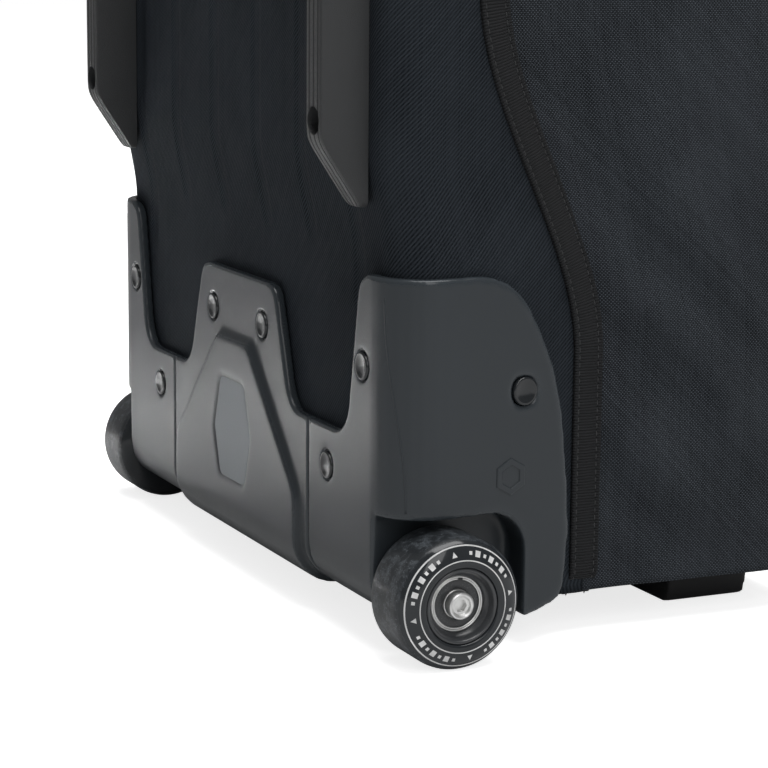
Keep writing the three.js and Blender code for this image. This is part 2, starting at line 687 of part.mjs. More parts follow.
// Each wheel is made about +Z, with z = 0 on its outer face and the rest of it below.
function addWheel(side, sign) {
  const matrix = aimed([sign * WHEEL_OUTER_X, WHEEL_CENTRE_Y, WHEEL_R], [sign, 0, 0]);
  const inner = -WHEEL_WIDTH;
  const edge = WHEEL_EDGE_R;
  const tyre = turned([
    [CORE_R, -edge], [CORE_R, inner + edge], [CORE_R + edge, inner], [WHEEL_R - edge, inner],
    [WHEEL_R - WHEEL_EDGE_MID, inner + WHEEL_EDGE_MID], [WHEEL_R, inner + edge], [WHEEL_R, -edge],
    [WHEEL_R - WHEEL_EDGE_MID, -WHEEL_EDGE_MID], [WHEEL_R - edge, 0], [CORE_R + edge, 0], [CORE_R, -edge],
  ], WHEEL_SIDES);
  place(`tyre_${side}`, tyre, 'urethane', matrix);

  const outerSeat = -BEARING_RECESS - BEARING_WIDTH - GAP;
  const innerSeat = inner + BEARING_RECESS + BEARING_WIDTH + GAP;
  const seatR = BEARING_R + GAP;
  const hubR = CORE_R - GAP;
  const hub = turned([
    [SPACER_R + GAP, innerSeat], [seatR, innerSeat], [seatR, inner + edge],
    [hubR, inner + edge], [hubR, -edge],
    [seatR, -edge], [seatR, outerSeat], [SPACER_R + GAP, outerSeat], [SPACER_R + GAP, innerSeat],
  ], BEARING_SIDES);
  place(`hub_${side}`, hub, 'core', matrix);

  const boreR = BEARING_BORE_R + GAP;
  const outerFace = -BEARING_RECESS;
  const innerFace = inner + BEARING_RECESS;
  const outerBearing = ring(boreR, BEARING_R, outerFace - BEARING_WIDTH, outerFace, BEARING_SIDES);
  const innerBearing = ring(boreR, BEARING_R, innerFace, innerFace + BEARING_WIDTH, BEARING_SIDES);
  place(`bearing_outer_${side}`, outerBearing, 'steel', matrix);
  place(`bearing_inner_${side}`, innerBearing, 'steel', matrix);
  const spacer = ring(boreR, SPACER_R, innerFace + BEARING_WIDTH + GAP, outerFace - BEARING_WIDTH - GAP);
  place(`spacer_${side}`, spacer, 'steel', matrix);
  addAxle(side, matrix);
}

// The axle bolt runs from its head in the face of the wheel to a nut at the inner end of the boss.
function addAxle(side, matrix) {
  const underHead = GAP - BEARING_RECESS;
  const top = underHead + BOLT_HEAD_HEIGHT;
  const nutFace = BOSS_END_X - GAP - WHEEL_OUTER_X;
  const end = nutFace - NUT_HEIGHT - GAP;
  const bolt = turned([
    [0, end], [BOLT_R, end], [BOLT_R, underHead],
    [BOLT_HEAD_R, underHead], [BOLT_HEAD_R, top - BOLT_HEAD_BEVEL],
    [BOLT_HEAD_R - BOLT_HEAD_BEVEL, top], [SOCKET_R, top],
    [SOCKET_R, top - SOCKET_DEPTH], [0, top - SOCKET_DEPTH],
  ]);
  place(`axle_bolt_${side}`, bolt, 'steel', matrix);
  const nutBlank = new THREE.CylinderGeometry(NUT_R, NUT_R, NUT_HEIGHT, NUT_SIDES).rotateX(Math.PI / 2);
  const nutBore = new THREE.CylinderGeometry(BOLT_R + GAP, BOLT_R + GAP, FAR, SMALL_ROUND_SIDES)
    .rotateX(Math.PI / 2);
  const nut = toSolid(nutBlank).subtract(toSolid(nutBore)).translate(0, 0, nutFace - NUT_HEIGHT / 2);
  place(`axle_nut_${side}`, nut, 'steel', matrix);
}

// ---------------------------------------------------------------- rails and feet

function addRail(side, sign) {
  const profile = outline([
    [RAIL_BASE_Y, RAIL_BOTTOM_Z], [RAIL_BASE_Y + RAIL_TIP, RAIL_BOTTOM_Z],
    [RAIL_FACE_Y, RAIL_BOTTOM_Z + RAIL_RAMP, RAIL_KNEE_R], [RAIL_FACE_Y, RAIL_TOP_Z - RAIL_RAMP, RAIL_KNEE_R],
    [RAIL_BASE_Y + RAIL_TIP, RAIL_TOP_Z], [RAIL_BASE_Y, RAIL_TOP_Z],
  ]);
  const rail = prismX(profile, sign * RAIL_X - RAIL_WIDTH / 2, sign * RAIL_X + RAIL_WIDTH / 2);
  place(`skid_rail_${side}`, cutAll(rail, railScrewRoom, RAIL_SCREWS), 'rail');
}

function addFoot(side, sign) {
  const top = FLOOR_Z - GAP;
  const half = FOOT_WIDTH / 2;
  const face = outline([
    [FOOT_FLARE - half, 0, FOOT_EDGE_R], [half - FOOT_FLARE, 0, FOOT_EDGE_R], [half, top], [-half, top],
  ]);
  const front = FRONT_Y + ZIP_THICKNESS + FOOT_FRONT_INSET;
  const foot = prismY(face, front, front + FOOT_LENGTH).translate(sign * FOOT_X, 0, 0);
  place(`foot_${side}`, foot, 'dark_plastic');
}

// ---------------------------------------------------------------- lid and zips

function addLid() {
  const face = rectangle(-HALF_FRONT, FLOOR_Z, HALF_FRONT, TOP_Z, LID_CORNER_R);
  place('lid', prismY(face, LID_FRONT_Y, LID_BACK_Y), 'gusset_fabric');

  const pocketTop = TOP_Z - POCKET_FROM_TOP;
  const half = POCKET_WIDTH / 2;
  const pocket = rectangle(-half, pocketTop - POCKET_HEIGHT, half, pocketTop, POCKET_CORNER_R);
  place('lid_pocket', prismY(pocket, POCKET_FRONT_Y, LID_FRONT_Y - GAP), 'gusset_fabric');

  const x = POCKET_CORNER_R + POCKET_SLIDER_TRAVEL_MARGIN - half;
  const sliderFace = rectangle(
    x - POCKET_SLIDER_LENGTH / 2,
    pocketTop + GAP,
    x + POCKET_SLIDER_LENGTH / 2,
    pocketTop + GAP + POCKET_SLIDER_WIDTH,
    POCKET_SLIDER_R,
  );
  const back = LID_FRONT_Y - SLIDER_STANDOFF;
  place('pocket_slider', prismY(sliderFace, back - POCKET_SLIDER_HEIGHT, back), 'dark_plastic');

  place('main_zip_chain', prismY(zipRun(0), FRONT_Y, FRONT_Y + ZIP_THICKNESS), 'webbing');
}

// A slider lies along X with its face towards +Y; its two lugs hold the neck of the pull tab.
function sliderSolid() {
  const base = SLIDER_STANDOFF;
  const face = base + SLIDER_HEIGHT;
  const x = SLIDER_LENGTH / 2;
  const z = SLIDER_WIDTH / 2;
  const body = prismY(rectangle(-x, -z, x, z, SLIDER_CORNER_R), base, face);
  const gapHalf = PULL_NECK_WIDTH / 2 + GAP;
  return [-1, 1].reduce((sum, end) => sum.add(block(
    [-LUG_LENGTH / 2, base, end < 0 ? -gapHalf - LUG_THICKNESS : gapHalf],
    [LUG_LENGTH / 2, face + LUG_HEIGHT, end < 0 ? -gapHalf : gapHalf + LUG_THICKNESS],
  )), body);
}

// The pull tab points along +X from its hinge line between the lugs.
function pullSolid() {
  const middle = SLIDER_STANDOFF + SLIDER_HEIGHT + LUG_HEIGHT / 2;
  const low = middle - PULL_THICKNESS / 2;
  const half = PULL_NECK_WIDTH / 2;
  const tab = outline([
    [-PULL_THICKNESS / 2, -half], [PULL_NECK_LENGTH, -half],
    [PULL_NECK_LENGTH, -PULL_WIDTH / 2, PULL_SHOULDER_R], [PULL_LENGTH, -PULL_WIDTH / 2, PULL_END_R],
    [PULL_LENGTH, PULL_WIDTH / 2, PULL_END_R], [PULL_NECK_LENGTH, PULL_WIDTH / 2, PULL_SHOULDER_R],
    [PULL_NECK_LENGTH, half], [-PULL_THICKNESS / 2, half],
  ]);
  return prismY(tab, low, low + PULL_THICKNESS);
}

// The side slider closes the long left edge from below; the top one closes the top end from the right.
function addSliders() {
  const zipY = FRONT_Y + ZIP_THICKNESS / 2;
  const onSide = new THREE.Matrix4().makeBasis(
    new THREE.Vector3(0, 0, -1),
    new THREE.Vector3(-1, 0, 0),
    new THREE.Vector3(0, 1, 0),
  ).setPosition(-HALF_FRONT, zipY, TOP_Z - SLIDER_FROM_END);
  const onTop = new THREE.Matrix4().makeBasis(
    new THREE.Vector3(1, 0, 0),
    new THREE.Vector3(0, 0, 1),
    new THREE.Vector3(0, -1, 0),
  ).setPosition(-HALF_FRONT + SLIDER_FROM_END, zipY, TOP_Z);
  for (const [where, matrix] of [['side', onSide], ['top', onTop]]) {
    place(`zip_slider_${where}`, sliderSolid(), 'steel', matrix);
    place(`zip_pull_${where}`, pullSolid(), 'dark_plastic', matrix);
  }
}

// ---------------------------------------------------------------- handles

// A flat loop of webbing whose two legs fold at the patches, with a padded sleeve on its bar.
function addHandle(name, matrix) {
  const reach = HANDLE_SPAN / 2;
  const inside = reach - HANDLE_WEBBING;
  const bar = HANDLE_REACH - HANDLE_WEBBING;
  const middle = PATCH_PROUD + PIVOT_GAP + HANDLE_THICKNESS / 2;
  const loop = outline([
    [-reach, 0], [-inside, 0], [-inside, -bar, LOOP_INNER_R], [inside, -bar, LOOP_INNER_R], [inside, 0],
    [reach, 0], [reach, -HANDLE_REACH, LOOP_OUTER_R], [-reach, -HANDLE_REACH, LOOP_OUTER_R],
  ]);
  const webbing = prismY(loop, middle - HANDLE_THICKNESS / 2, middle + HANDLE_THICKNESS / 2);
  place(`${name}_webbing`, webbing, 'webbing', matrix);

  const barMiddle = -HANDLE_REACH + HANDLE_WEBBING / 2;
  const roomZ = HANDLE_WEBBING / 2 + GAP;
  const roomY = HANDLE_THICKNESS / 2 + GAP;
  const outer = rectangle(
    middle - GRIP_THICKNESS / 2,
    barMiddle - GRIP_WIDTH / 2,
    middle + GRIP_THICKNESS / 2,
    barMiddle + GRIP_WIDTH / 2,
    GRIP_EDGE_R,
  );
  const sleeve = prismX(outer, -GRIP_LENGTH / 2, GRIP_LENGTH / 2)
    .subtract(block([-FAR, middle - roomY, barMiddle - roomZ], [FAR, middle + roomY, barMiddle + roomZ]));
  place(`${name}_grip`, sleeve, 'dark_plastic', matrix);
}

// ---------------------------------------------------------------- inside

function addLiner() {
  const reach = HALF_FRONT - WALL - LINER_SIDE_ROOM;
  const panel = rectangle(-reach, LINER_BOTTOM_Z, reach, TOP_Z - WALL - LINER_TOP_ROOM, LINER_CORNER_R);
  place('back_liner', prismY(panel, LINER_FACE_Y, INNER_BACK_Y - GAP), 'lining');
}

// A strap across the liner, drawn together by a side-release buckle: a clip and its tongue.
function addTieDown(name, z) {
  const reach = HALF_FRONT - WALL - LINER_SIDE_ROOM - STRAP_SIDE_ROOM;
  const strapBack = LINER_FACE_Y - GAP;
  const strapFace = strapBack - STRAP_THICKNESS;
  const half = STRAP_WIDTH / 2;
  const strap = block([-reach, strapFace, z - half], [reach, strapBack, z + half]);
  place(`tie_down_strap_${name}`, strap, 'webbing');

  const base = strapFace - GAP;
  const middle = base - BUCKLE_HEIGHT / 2;
  const clipOutline = rectangle(GAP, z - BUCKLE_WIDTH / 2, CLIP_LENGTH, z + BUCKLE_WIDTH / 2, BUCKLE_R);
  const slot = PRONG_THICKNESS / 2 + PRONG_CLEARANCE;
  const slotHalf = PRONG_WIDTH / 2 + PRONG_CLEARANCE;
  const slotEnd = PRONG_LENGTH + PRONG_END_ROOM;
  const clip = prismY(clipOutline, base - BUCKLE_HEIGHT, base)
    .subtract(block([-FAR, middle - slot, z - slotHalf], [slotEnd, middle + slot, z + slotHalf]));
  place(`tie_down_clip_${name}`, clip, 'dark_plastic');

  const tongueOutline = rectangle(-TONGUE_LENGTH, z - BUCKLE_WIDTH / 2, 0, z + BUCKLE_WIDTH / 2, BUCKLE_R);
  const prong = block(
    [-PRONG_ROOT, middle - PRONG_THICKNESS / 2, z - PRONG_WIDTH / 2],
    [PRONG_LENGTH, middle + PRONG_THICKNESS / 2, z + PRONG_WIDTH / 2],
  );
  const tongue = prismY(tongueOutline, base - BUCKLE_HEIGHT, base).add(prong);
  place(`tie_down_tongue_${name}`, tongue, 'dark_plastic');
}

// ---------------------------------------------------------------- assembly

addShell();
addBindingTapes();
addKickPlate();
addFasteners();
for (const [side, sign] of SIDES) {
  addWheel(side, sign);
  addRail(side, sign);
  addFoot(side, sign);
}
addLid();
addSliders();
addHandle('top_handle', TOP_HANDLE_TURN);
addHandle('side_handle', SIDE_HANDLE_TURN);
addLiner();
addTieDown('lower', LOWER_STRAP_Z);
addTieDown('upper', UPPER_STRAP_Z);

bag.position.y = -(RAIL_FACE_Y + POCKET_FRONT_Y) / 2;

export default bag;
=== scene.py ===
import math

import bmesh
import bpy
import numpy as np
from mathutils import Matrix, Vector, noise


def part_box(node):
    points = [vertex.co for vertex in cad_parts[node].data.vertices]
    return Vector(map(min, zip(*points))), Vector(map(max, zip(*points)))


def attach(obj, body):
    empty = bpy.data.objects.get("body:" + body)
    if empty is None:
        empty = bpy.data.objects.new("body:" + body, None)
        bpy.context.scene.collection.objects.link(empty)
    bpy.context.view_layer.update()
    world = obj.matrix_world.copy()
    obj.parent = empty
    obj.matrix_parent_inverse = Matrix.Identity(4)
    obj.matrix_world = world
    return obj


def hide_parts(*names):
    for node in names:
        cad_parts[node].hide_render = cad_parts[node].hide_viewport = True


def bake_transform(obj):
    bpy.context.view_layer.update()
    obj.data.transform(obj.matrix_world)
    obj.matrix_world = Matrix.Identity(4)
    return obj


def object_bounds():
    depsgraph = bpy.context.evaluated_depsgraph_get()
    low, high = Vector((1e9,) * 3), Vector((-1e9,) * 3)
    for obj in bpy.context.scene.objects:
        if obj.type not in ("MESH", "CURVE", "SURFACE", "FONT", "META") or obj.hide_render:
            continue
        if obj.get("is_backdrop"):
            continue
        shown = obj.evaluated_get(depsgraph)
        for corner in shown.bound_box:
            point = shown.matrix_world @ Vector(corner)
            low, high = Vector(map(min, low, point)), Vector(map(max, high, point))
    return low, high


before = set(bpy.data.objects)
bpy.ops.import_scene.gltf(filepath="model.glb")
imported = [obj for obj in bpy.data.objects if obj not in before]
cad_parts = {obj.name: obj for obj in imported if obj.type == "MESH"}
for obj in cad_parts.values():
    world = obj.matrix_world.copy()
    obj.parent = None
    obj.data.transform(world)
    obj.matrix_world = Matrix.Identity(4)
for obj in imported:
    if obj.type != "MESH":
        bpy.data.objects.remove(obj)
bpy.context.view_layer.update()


# ---------------------------------------------------------------- place and camera
# The bag stands on its wheeled end. Sizes are given in millimetres, with Y counted from the back face of
# the kick plate, and spot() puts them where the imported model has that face.
MM = 0.001
PLATE_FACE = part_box("wheel_housing_left")[1].y


def spot(x, y, z):
    return Vector((x * MM, y * MM + PLATE_FACE, z * MM))


def depth_of(y):
    """A depth in metres as spot() takes it, in millimetres from the plate's face."""
    return y / MM - PLATE_FACE / MM


def in_scene(name, data):
    made = bpy.data.objects.new(name, data)
    bpy.context.scene.collection.objects.link(made)
    return made


EYE = spot(-1010.95, 394.51, 282.88)
LOOK = Vector((0.89367, -0.41066, -0.18086)).normalized()
ROLL = math.radians(0.49)
level_right = LOOK.cross(Vector((0, 0, 1))).normalized()
level_up = level_right.cross(LOOK)
right = level_right * math.cos(ROLL) + level_up * math.sin(ROLL)
up = level_up * math.cos(ROLL) - level_right * math.sin(ROLL)
camera = in_scene("camera", bpy.data.cameras.new("camera"))
camera.data.lens = 119.37
camera.data.sensor_width = 36
camera.data.clip_end = 50
camera.matrix_world = Matrix.Translation(EYE) @ Matrix((right, up, -LOOK)).transposed().to_4x4()
bpy.context.scene.camera = camera


# ---------------------------------------------------------------- floor and light
# A seamless pale studio floor, a tall soft box behind the bag's back, one at its left side, a small lamp
# that brightens the floor beside the kick plate, and a wide soft box overhead.
def paint(material, **values):
    shader = material.node_tree.nodes["Principled BSDF"]
    for socket, value in values.items():
        shader.inputs[socket.replace("_", " ")].default_value = value
    return shader


floor_mesh = bpy.data.meshes.new("floor")
FLOOR_REACH = 30
floor_mesh.from_pydata(
    [(-FLOOR_REACH, -FLOOR_REACH, 0), (FLOOR_REACH, -FLOOR_REACH, 0),
     (FLOOR_REACH, FLOOR_REACH, 0), (-FLOOR_REACH, FLOOR_REACH, 0)], [], [(0, 1, 2, 3)])
floor = in_scene("floor", floor_mesh)
floor_paint = bpy.data.materials.new("floor_paint")
floor_paint.use_nodes = True
paint(floor_paint, Base_Color=(0.86, 0.86, 0.86, 1), Roughness=0.9)
GLOW = 0.78
floor_tree = floor_paint.node_tree
floor_ray = floor_tree.nodes.new("ShaderNodeLightPath")
floor_glow = floor_tree.nodes.new("ShaderNodeMath")
floor_glow.operation = "MULTIPLY"
floor_glow.inputs[1].default_value = GLOW
floor_tree.links.new(floor_ray.outputs["Is Camera Ray"], floor_glow.inputs[0])
floor_shader = paint(floor_paint, Emission_Color=(1, 1, 1, 1))
floor_tree.links.new(floor_glow.outputs[0], floor_shader.inputs["Emission Strength"])
floor_mesh.materials.append(floor_paint)
floor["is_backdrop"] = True

world = bpy.data.worlds.new("studio")
world.use_nodes = True
AMBIENT = 0.22
background = world.node_tree.nodes["Background"]
background.inputs["Color"].default_value = (1, 1, 1, 1)
ray = world.node_tree.nodes.new("ShaderNodeLightPath")
level = world.node_tree.nodes.new("ShaderNodeMapRange")
level.inputs["To Min"].default_value = AMBIENT
level.inputs["To Max"].default_value = 1.0
world.node_tree.links.new(ray.outputs["Is Camera Ray"], level.inputs["Value"])
world.node_tree.links.new(level.outputs[0], background.inputs["Strength"])
bpy.context.scene.world = world
bpy.context.scene.view_settings.view_transform = "Standard"


def soft_box(name, place, aim, size, power, spread=180):
    lamp = bpy.data.lights.new(name, "AREA")
    lamp.shape = "RECTANGLE"
    lamp.size, lamp.size_y = size
    lamp.energy = power
    lamp.spread = math.radians(spread)
    box = in_scene(name, lamp)
    box.location = place
    box.rotation_euler = (Vector(aim) - Vector(place)).to_track_quat("-Z", "Y").to_euler()


soft_box("back_light", (0.5, 2.6, 1.4), (0, 0, 0.4), (1.6, 2.2), 0.7)
soft_box("side_light", (-2.4, 0.2, 1.5), (0, 0, 0.3), (1.0, 1.4), 13)
soft_box("floor_light", (0.42, 0.33, 0.8), (0.34, 0.27, 0), (0.15, 0.15), 1.7, spread=26)
soft_box("top_light", (-0.6, -0.25, 3.4), (0, 0, 0), (2.4, 2.4), 105)


# ---------------------------------------------------------------- back and sides
# One tub of fine twill glued over a moulded foam board. Upright channels are pressed into the back, and
# it steps in behind the kick plate. It ends at the seam under the binding tapes.
FLOOR_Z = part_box("back_tub")[0].z / MM
TOP_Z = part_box("back_tub")[1].z / MM
WALL = 6
HALF_BACK = 159.5
SIDE_LEAN = 12
LEAN_FROM_Y = -5
LEAN_TO_Y = -88
CORNER_R = 16
HEEL_R = 13
RECESS_Y = -5
BACK_Y = 1
RAMP_BOTTOM_Z = 149
RAMP_TOP_Z = 196
CHANNELS = ((-118, 132), (-72, 155), (-24, 155), (24, 155), (72, 155), (118, 132))
CHANNEL_WIDTH = 10
CHANNEL_DEPTH = 0.8
CHANNEL_TOP_Z = 1640
SEAM_UPPER_Y = -43
SEAM_LOWER_Y = -90
SEAM_BEND = (115, 258)  # the heights between which the seam crosses from one to the other
WELL_X = 104
WELL_Z = 66
WELL_Y = -66
SIDE_STEPS = 22
CORNER_STEPS = 8
SWELL_X = 146  # outside this and above SWELL_Z the glued cloth is not quite flat
SWELL_Z = 160
BEND_HALF = 0.12  # the share of the lean over which it turns into the straight front part


def ease(value, low, high):
    share = min(1, max(0, (value - low) / (high - low)))
    return share * share * (3 - 2 * share)


def side_x(y):
    share = (LEAN_FROM_Y - y) / (LEAN_FROM_Y - LEAN_TO_Y)
    if share < 0:
        return HALF_BACK
    if share > 1 + BEND_HALF:
        return HALF_BACK - SIDE_LEAN
    if share > 1 - BEND_HALF:
        part = (share - 1 + BEND_HALF) / (2 * BEND_HALF)
        return HALF_BACK - SIDE_LEAN * (1 - BEND_HALF + 2 * BEND_HALF * (part - part * part / 2))
    return HALF_BACK - SIDE_LEAN * share


def seam_y(z):
    return SEAM_UPPER_Y + (SEAM_LOWER_Y - SEAM_UPPER_Y) * (1 - ease(z, *SEAM_BEND))


def back_y(z):
    y = RECESS_Y + (BACK_Y - RECESS_Y) * ease(z, RAMP_BOTTOM_Z, RAMP_TOP_Z)
    rise = FLOOR_Z + HEEL_R - z
    if rise > 0:
        y -= HEEL_R - math.sqrt(max(0, HEEL_R ** 2 - rise ** 2))
    return y


def channel_depth(x, z):
    depth = 0
    for middle, end in CHANNELS:
        half = CHANNEL_WIDTH / 2
        over = max(0, end + half - z, z - CHANNEL_TOP_Z)
        reach = math.hypot(x - middle, over)
        depth = max(depth, CHANNEL_DEPTH * (1 - ease(reach, half - 2.4, half + 1.2)))
    return depth


def mesh_of(name, points, faces, smooth=True):
    mesh = bpy.data.meshes.new(name)
    mesh.from_pydata([spot(*p) for p in points], [], faces)
    mesh.validate()
    if smooth:
        mesh.shade_smooth()
    return in_scene(name, mesh)


def reworked(mesh, work):
    """Opens a mesh for editing, works on it, and closes it again."""
    edit = bmesh.new()
    edit.from_mesh(mesh)
    work(edit)
    edit.to_mesh(mesh)
    edit.free()
    return mesh


def faced_out(mesh):
    """Turns the faces of a closed mesh outwards."""
    return reworked(mesh, lambda edit: bmesh.ops.recalc_face_normals(edit, faces=edit.faces))


def without_strays(edit):
    bmesh.ops.delete(edit, geom=[v for v in edit.verts if not v.link_faces], context="VERTS")


def fitted(piece, finish, body, slot, *nodes):
    """Gives a piece its finish and the body it rides on, and hides the CAD nodes that it stands for. The slot
    is not used.
    """
    if finish:
        piece.data.materials.append(finish)
    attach(piece, body)
    if nodes:
        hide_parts(*nodes)


def cloth_grid(name, rows, keep=None, flip=False):
    """Quads over rows of points, with a UV map that counts metres across and along the cloth."""
    grid = np.array(rows, float)
    high, wide = grid.shape[:2]
    across = np.zeros((high, wide))
    across[:, 1:] = np.cumsum(np.linalg.norm(np.diff(grid, axis=1), axis=2), axis=1)
    across -= across[:, [wide // 2]]
    along = np.zeros((high, wide))
    along[1:] = np.cumsum(np.linalg.norm(np.diff(grid, axis=0), axis=2), axis=0)
    along = np.repeat(along[:, [wide // 2]], wide, axis=1)
    faces = []
    for i in range(high - 1):
        for j in range(wide - 1):
            a = i * wide + j
            if keep is None or keep((grid[i, j] + grid[i + 1, j + 1]) / 2):
                corners = (a, a + 1, a + wide + 1, a + wide)
                faces.append((a, *reversed(corners[1:])) if flip else corners)
    piece = mesh_of(name, grid.reshape(-1, 3), faces)
    layer = piece.data.uv_layers.new(name="cloth")
    flat = np.stack([across.ravel(), along.ravel()], axis=1) * MM
    corners = np.zeros(len(piece.data.loops), int)
    piece.data.loops.foreach_get("vertex_index", corners)
    layer.data.foreach_set("uv", flat[corners].astype(np.float32).ravel())
    reworked(piece.data, without_strays)
    return piece


def thicken(piece, thickness, offset=-1):
    wall = piece.modifiers.new("wall", "SOLIDIFY")
    wall.thickness = thickness * MM
    wall.offset = offset
    wall.use_even_offset = True
    return wall


def settled(piece):
    """The piece with its modifiers worked into its mesh."""
    graph = bpy.context.evaluated_depsgraph_get()
    mesh = bpy.data.meshes.new_from_object(piece.evaluated_get(graph), depsgraph=graph)
    mesh.name = piece.name
    piece.modifiers.clear()
    piece.data = mesh
    return piece


def heights(*spans):
    """Steps from low to high: (start, end, step) spans that follow on from each other."""
    values = []
    for start, end, step in spans:
        count = max(1, round((end - start) / step))
        values += [start + (end - start) * i / count for i in range(count)]
    return values + [spans[-1][1]]


def tub_section(z):
    back = back_y(z)
    seam = seam_y(z)
    points = []
    for i in range(SIDE_STEPS):
        y = seam + (back - CORNER_R - seam) * i / SIDE_STEPS
        points.append((-side_x(y), y, z))
    corner_x = side_x(back - CORNER_R) - CORNER_R
    for i in range(CORNER_STEPS + 1):
        turn = math.pi / 2 * i / CORNER_STEPS
        points.append((-corner_x - CORNER_R * math.cos(turn), back - CORNER_R + CORNER_R * math.sin(turn), z))
    return points + [(-x, back - channel_depth(-x, z), z) for x in back_columns]


CHANNEL_COLUMNS = (-7, -5.8, -5, -4.2, -3.4, -2.4, 0, 2.4, 3.4, 4.2, 5, 5.8, 7)
channel_edges = [abs(middle) + offset for middle, end in CHANNELS[3:] for offset in CHANNEL_COLUMNS]
between_channels = [8, 12, 36, 42, 48, 54, 60, 84, 90, 96, 102, 108, 128, 133, 138]
back_columns = sorted(channel_edges + between_channels, reverse=True)


def whole_section(z):
    left = tub_section(z)
    return left + [(0, back_y(z), z)] + [(-x, y, z) for x, y, z in reversed(left)]


tub_rows = [whole_section(z) for z in heights((FLOOR_Z, 300, 3), (300, 1560, 18), (1560, TOP_Z, 10))]


def clear_of_wells(p):
    return not (abs(p[0]) > WELL_X and p[1] > WELL_Y and p[2] < WELL_Z)


tub = cloth_grid("back_and_sides", tub_rows, keep=clear_of_wells, flip=True)
for vertex in tub.data.vertices:
    place = vertex.co
    if abs(place.x) > SWELL_X * MM and place.z > SWELL_Z * MM:
        swell = noise.noise(place * 9) * 1.6 + noise.noise(place * 23) * 0.5
        vertex.co.x += math.copysign(swell * MM * ease(place.z / MM, SWELL_Z, SWELL_Z + 60), place.x)
thicken(tub, WALL)
settled(tub)


def feed(tree, socket, value):
    """Links a socket to another one, or sets its value."""
    if isinstance(value, bpy.types.NodeSocket):
        tree.links.new(value, socket)
    else:
        socket.default_value = value


def tree_tools(tree):
    """Short ways to add a maths node, any other node and a mix of two colours to a node tree."""
    def maths(operation, *values):
        made = tree.nodes.new("ShaderNodeMath")
        made.operation = operation
        for socket, value in zip(made.inputs, values):
            feed(tree, socket, value)
        return made.outputs[0]

    def node(kind, **inputs):
        made = tree.nodes.new(kind)
        for name, value in inputs.items():
            feed(tree, made.inputs[name.replace("_", " ")], value)
        return made

    def mix(share, dark, light):
        made = tree.nodes.new("ShaderNodeMix")
        made.data_type = "RGBA"
        for number, value in ((0, share), (6, dark), (7, light)):
            feed(tree, made.inputs[number], value)
        return made.outputs[2]

    return maths, node, mix


def blank_material(name):
    """A new material with its tree, the three tools above, and its shader."""
    material = bpy.data.materials.new(name)
    material.use_nodes = True
    tree = material.node_tree
    return (material, tree, *tree_tools(tree), tree.nodes["Principled BSDF"])


def surface(tree, shader, colour, rough, height, depth):
    """Joins a colour, a roughness, and a bump of so many millimetres to a shader."""
    maths, node, mix = tree_tools(tree)
    tree.links.new(colour, shader.inputs["Base Color"])
    tree.links.new(rough, shader.inputs["Roughness"])
    bump = node("ShaderNodeBump", Height=height, Distance=depth * MM)
    tree.links.new(bump.outputs[0], shader.inputs["Normal"])
    return bump


def tint(colour, gain=1.0, lift=0.0):
    return tuple(min(1, c * gain + lift) for c in colour) + (1,)


def shader_group(name, inputs, outputs):
    group = bpy.data.node_groups.new(name, "ShaderNodeTree")
    for socket, kind, value in inputs:
        made = group.interface.new_socket(socket, in_out="INPUT", socket_type=kind)
        if value is not None:
            made.default_value = value
    for socket, kind in outputs:
        group.interface.new_socket(socket, in_out="OUTPUT", socket_type=kind)
    return group, group.nodes.new("NodeGroupInput"), group.nodes.new("NodeGroupOutput")


# Warp and weft that pass over and under each other. Repeat 2 is a plain weave and 4 a twill.
weave, weave_in, weave_out = shader_group(
    "weave",
    [("Vector", "NodeSocketVector", None), ("Thread", "NodeSocketFloat", 0.0005),
     ("Repeat", "NodeSocketFloat", 2.0)],
    [("Height", "NodeSocketFloat"), ("Tone", "NodeSocketFloat")])
maths, node, mix = tree_tools(weave)
axes = node("ShaderNodeSeparateXYZ", Vector=weave_in.outputs["Vector"])
warp_count = maths("DIVIDE", axes.outputs[0], weave_in.outputs["Thread"])
weft_count = maths("DIVIDE", axes.outputs[1], weave_in.outputs["Thread"])
warp_round = maths("ABSOLUTE", maths("SINE", maths("MULTIPLY", warp_count, math.pi)))
weft_round = maths("ABSOLUTE", maths("SINE", maths("MULTIPLY", weft_count, math.pi)))
warp_number = maths("FLOOR", warp_count)
weft_number = maths("FLOOR", weft_count)
turn = maths("FLOORED_MODULO", maths("ADD", warp_number, weft_number), weave_in.outputs["Repeat"])
half_turn = maths("SUBTRACT", maths("MULTIPLY", weave_in.outputs["Repeat"], 0.5), 0.5)
weft_up = maths("GREATER_THAN", turn, half_turn)
warp_top = maths("MULTIPLY", warp_round, maths("MULTIPLY_ADD", weft_round, 0.5, 0.5))
weft_top = maths("MULTIPLY", weft_round, maths("MULTIPLY_ADD", warp_round, 0.5, 0.5))
lift = maths("MULTIPLY", maths("SUBTRACT", weft_top, warp_top), weft_up)
weave.links.new(maths("ADD", warp_top, lift), weave_out.inputs["Height"])
crossing = maths("ADD", warp_number, maths("MULTIPLY", weft_up, weft_number))
number = node("ShaderNodeCombineXYZ", X=maths("MULTIPLY_ADD", weft_up, 0.37, crossing))
thread_noise = node("ShaderNodeTexWhiteNoise", Vector=number.outputs[0]).outputs[0]
tone = maths("MULTIPLY_ADD", weft_up, 0.7, maths("MULTIPLY", thread_noise, 0.3))
weave.links.new(tone, weave_out.inputs["Tone"])

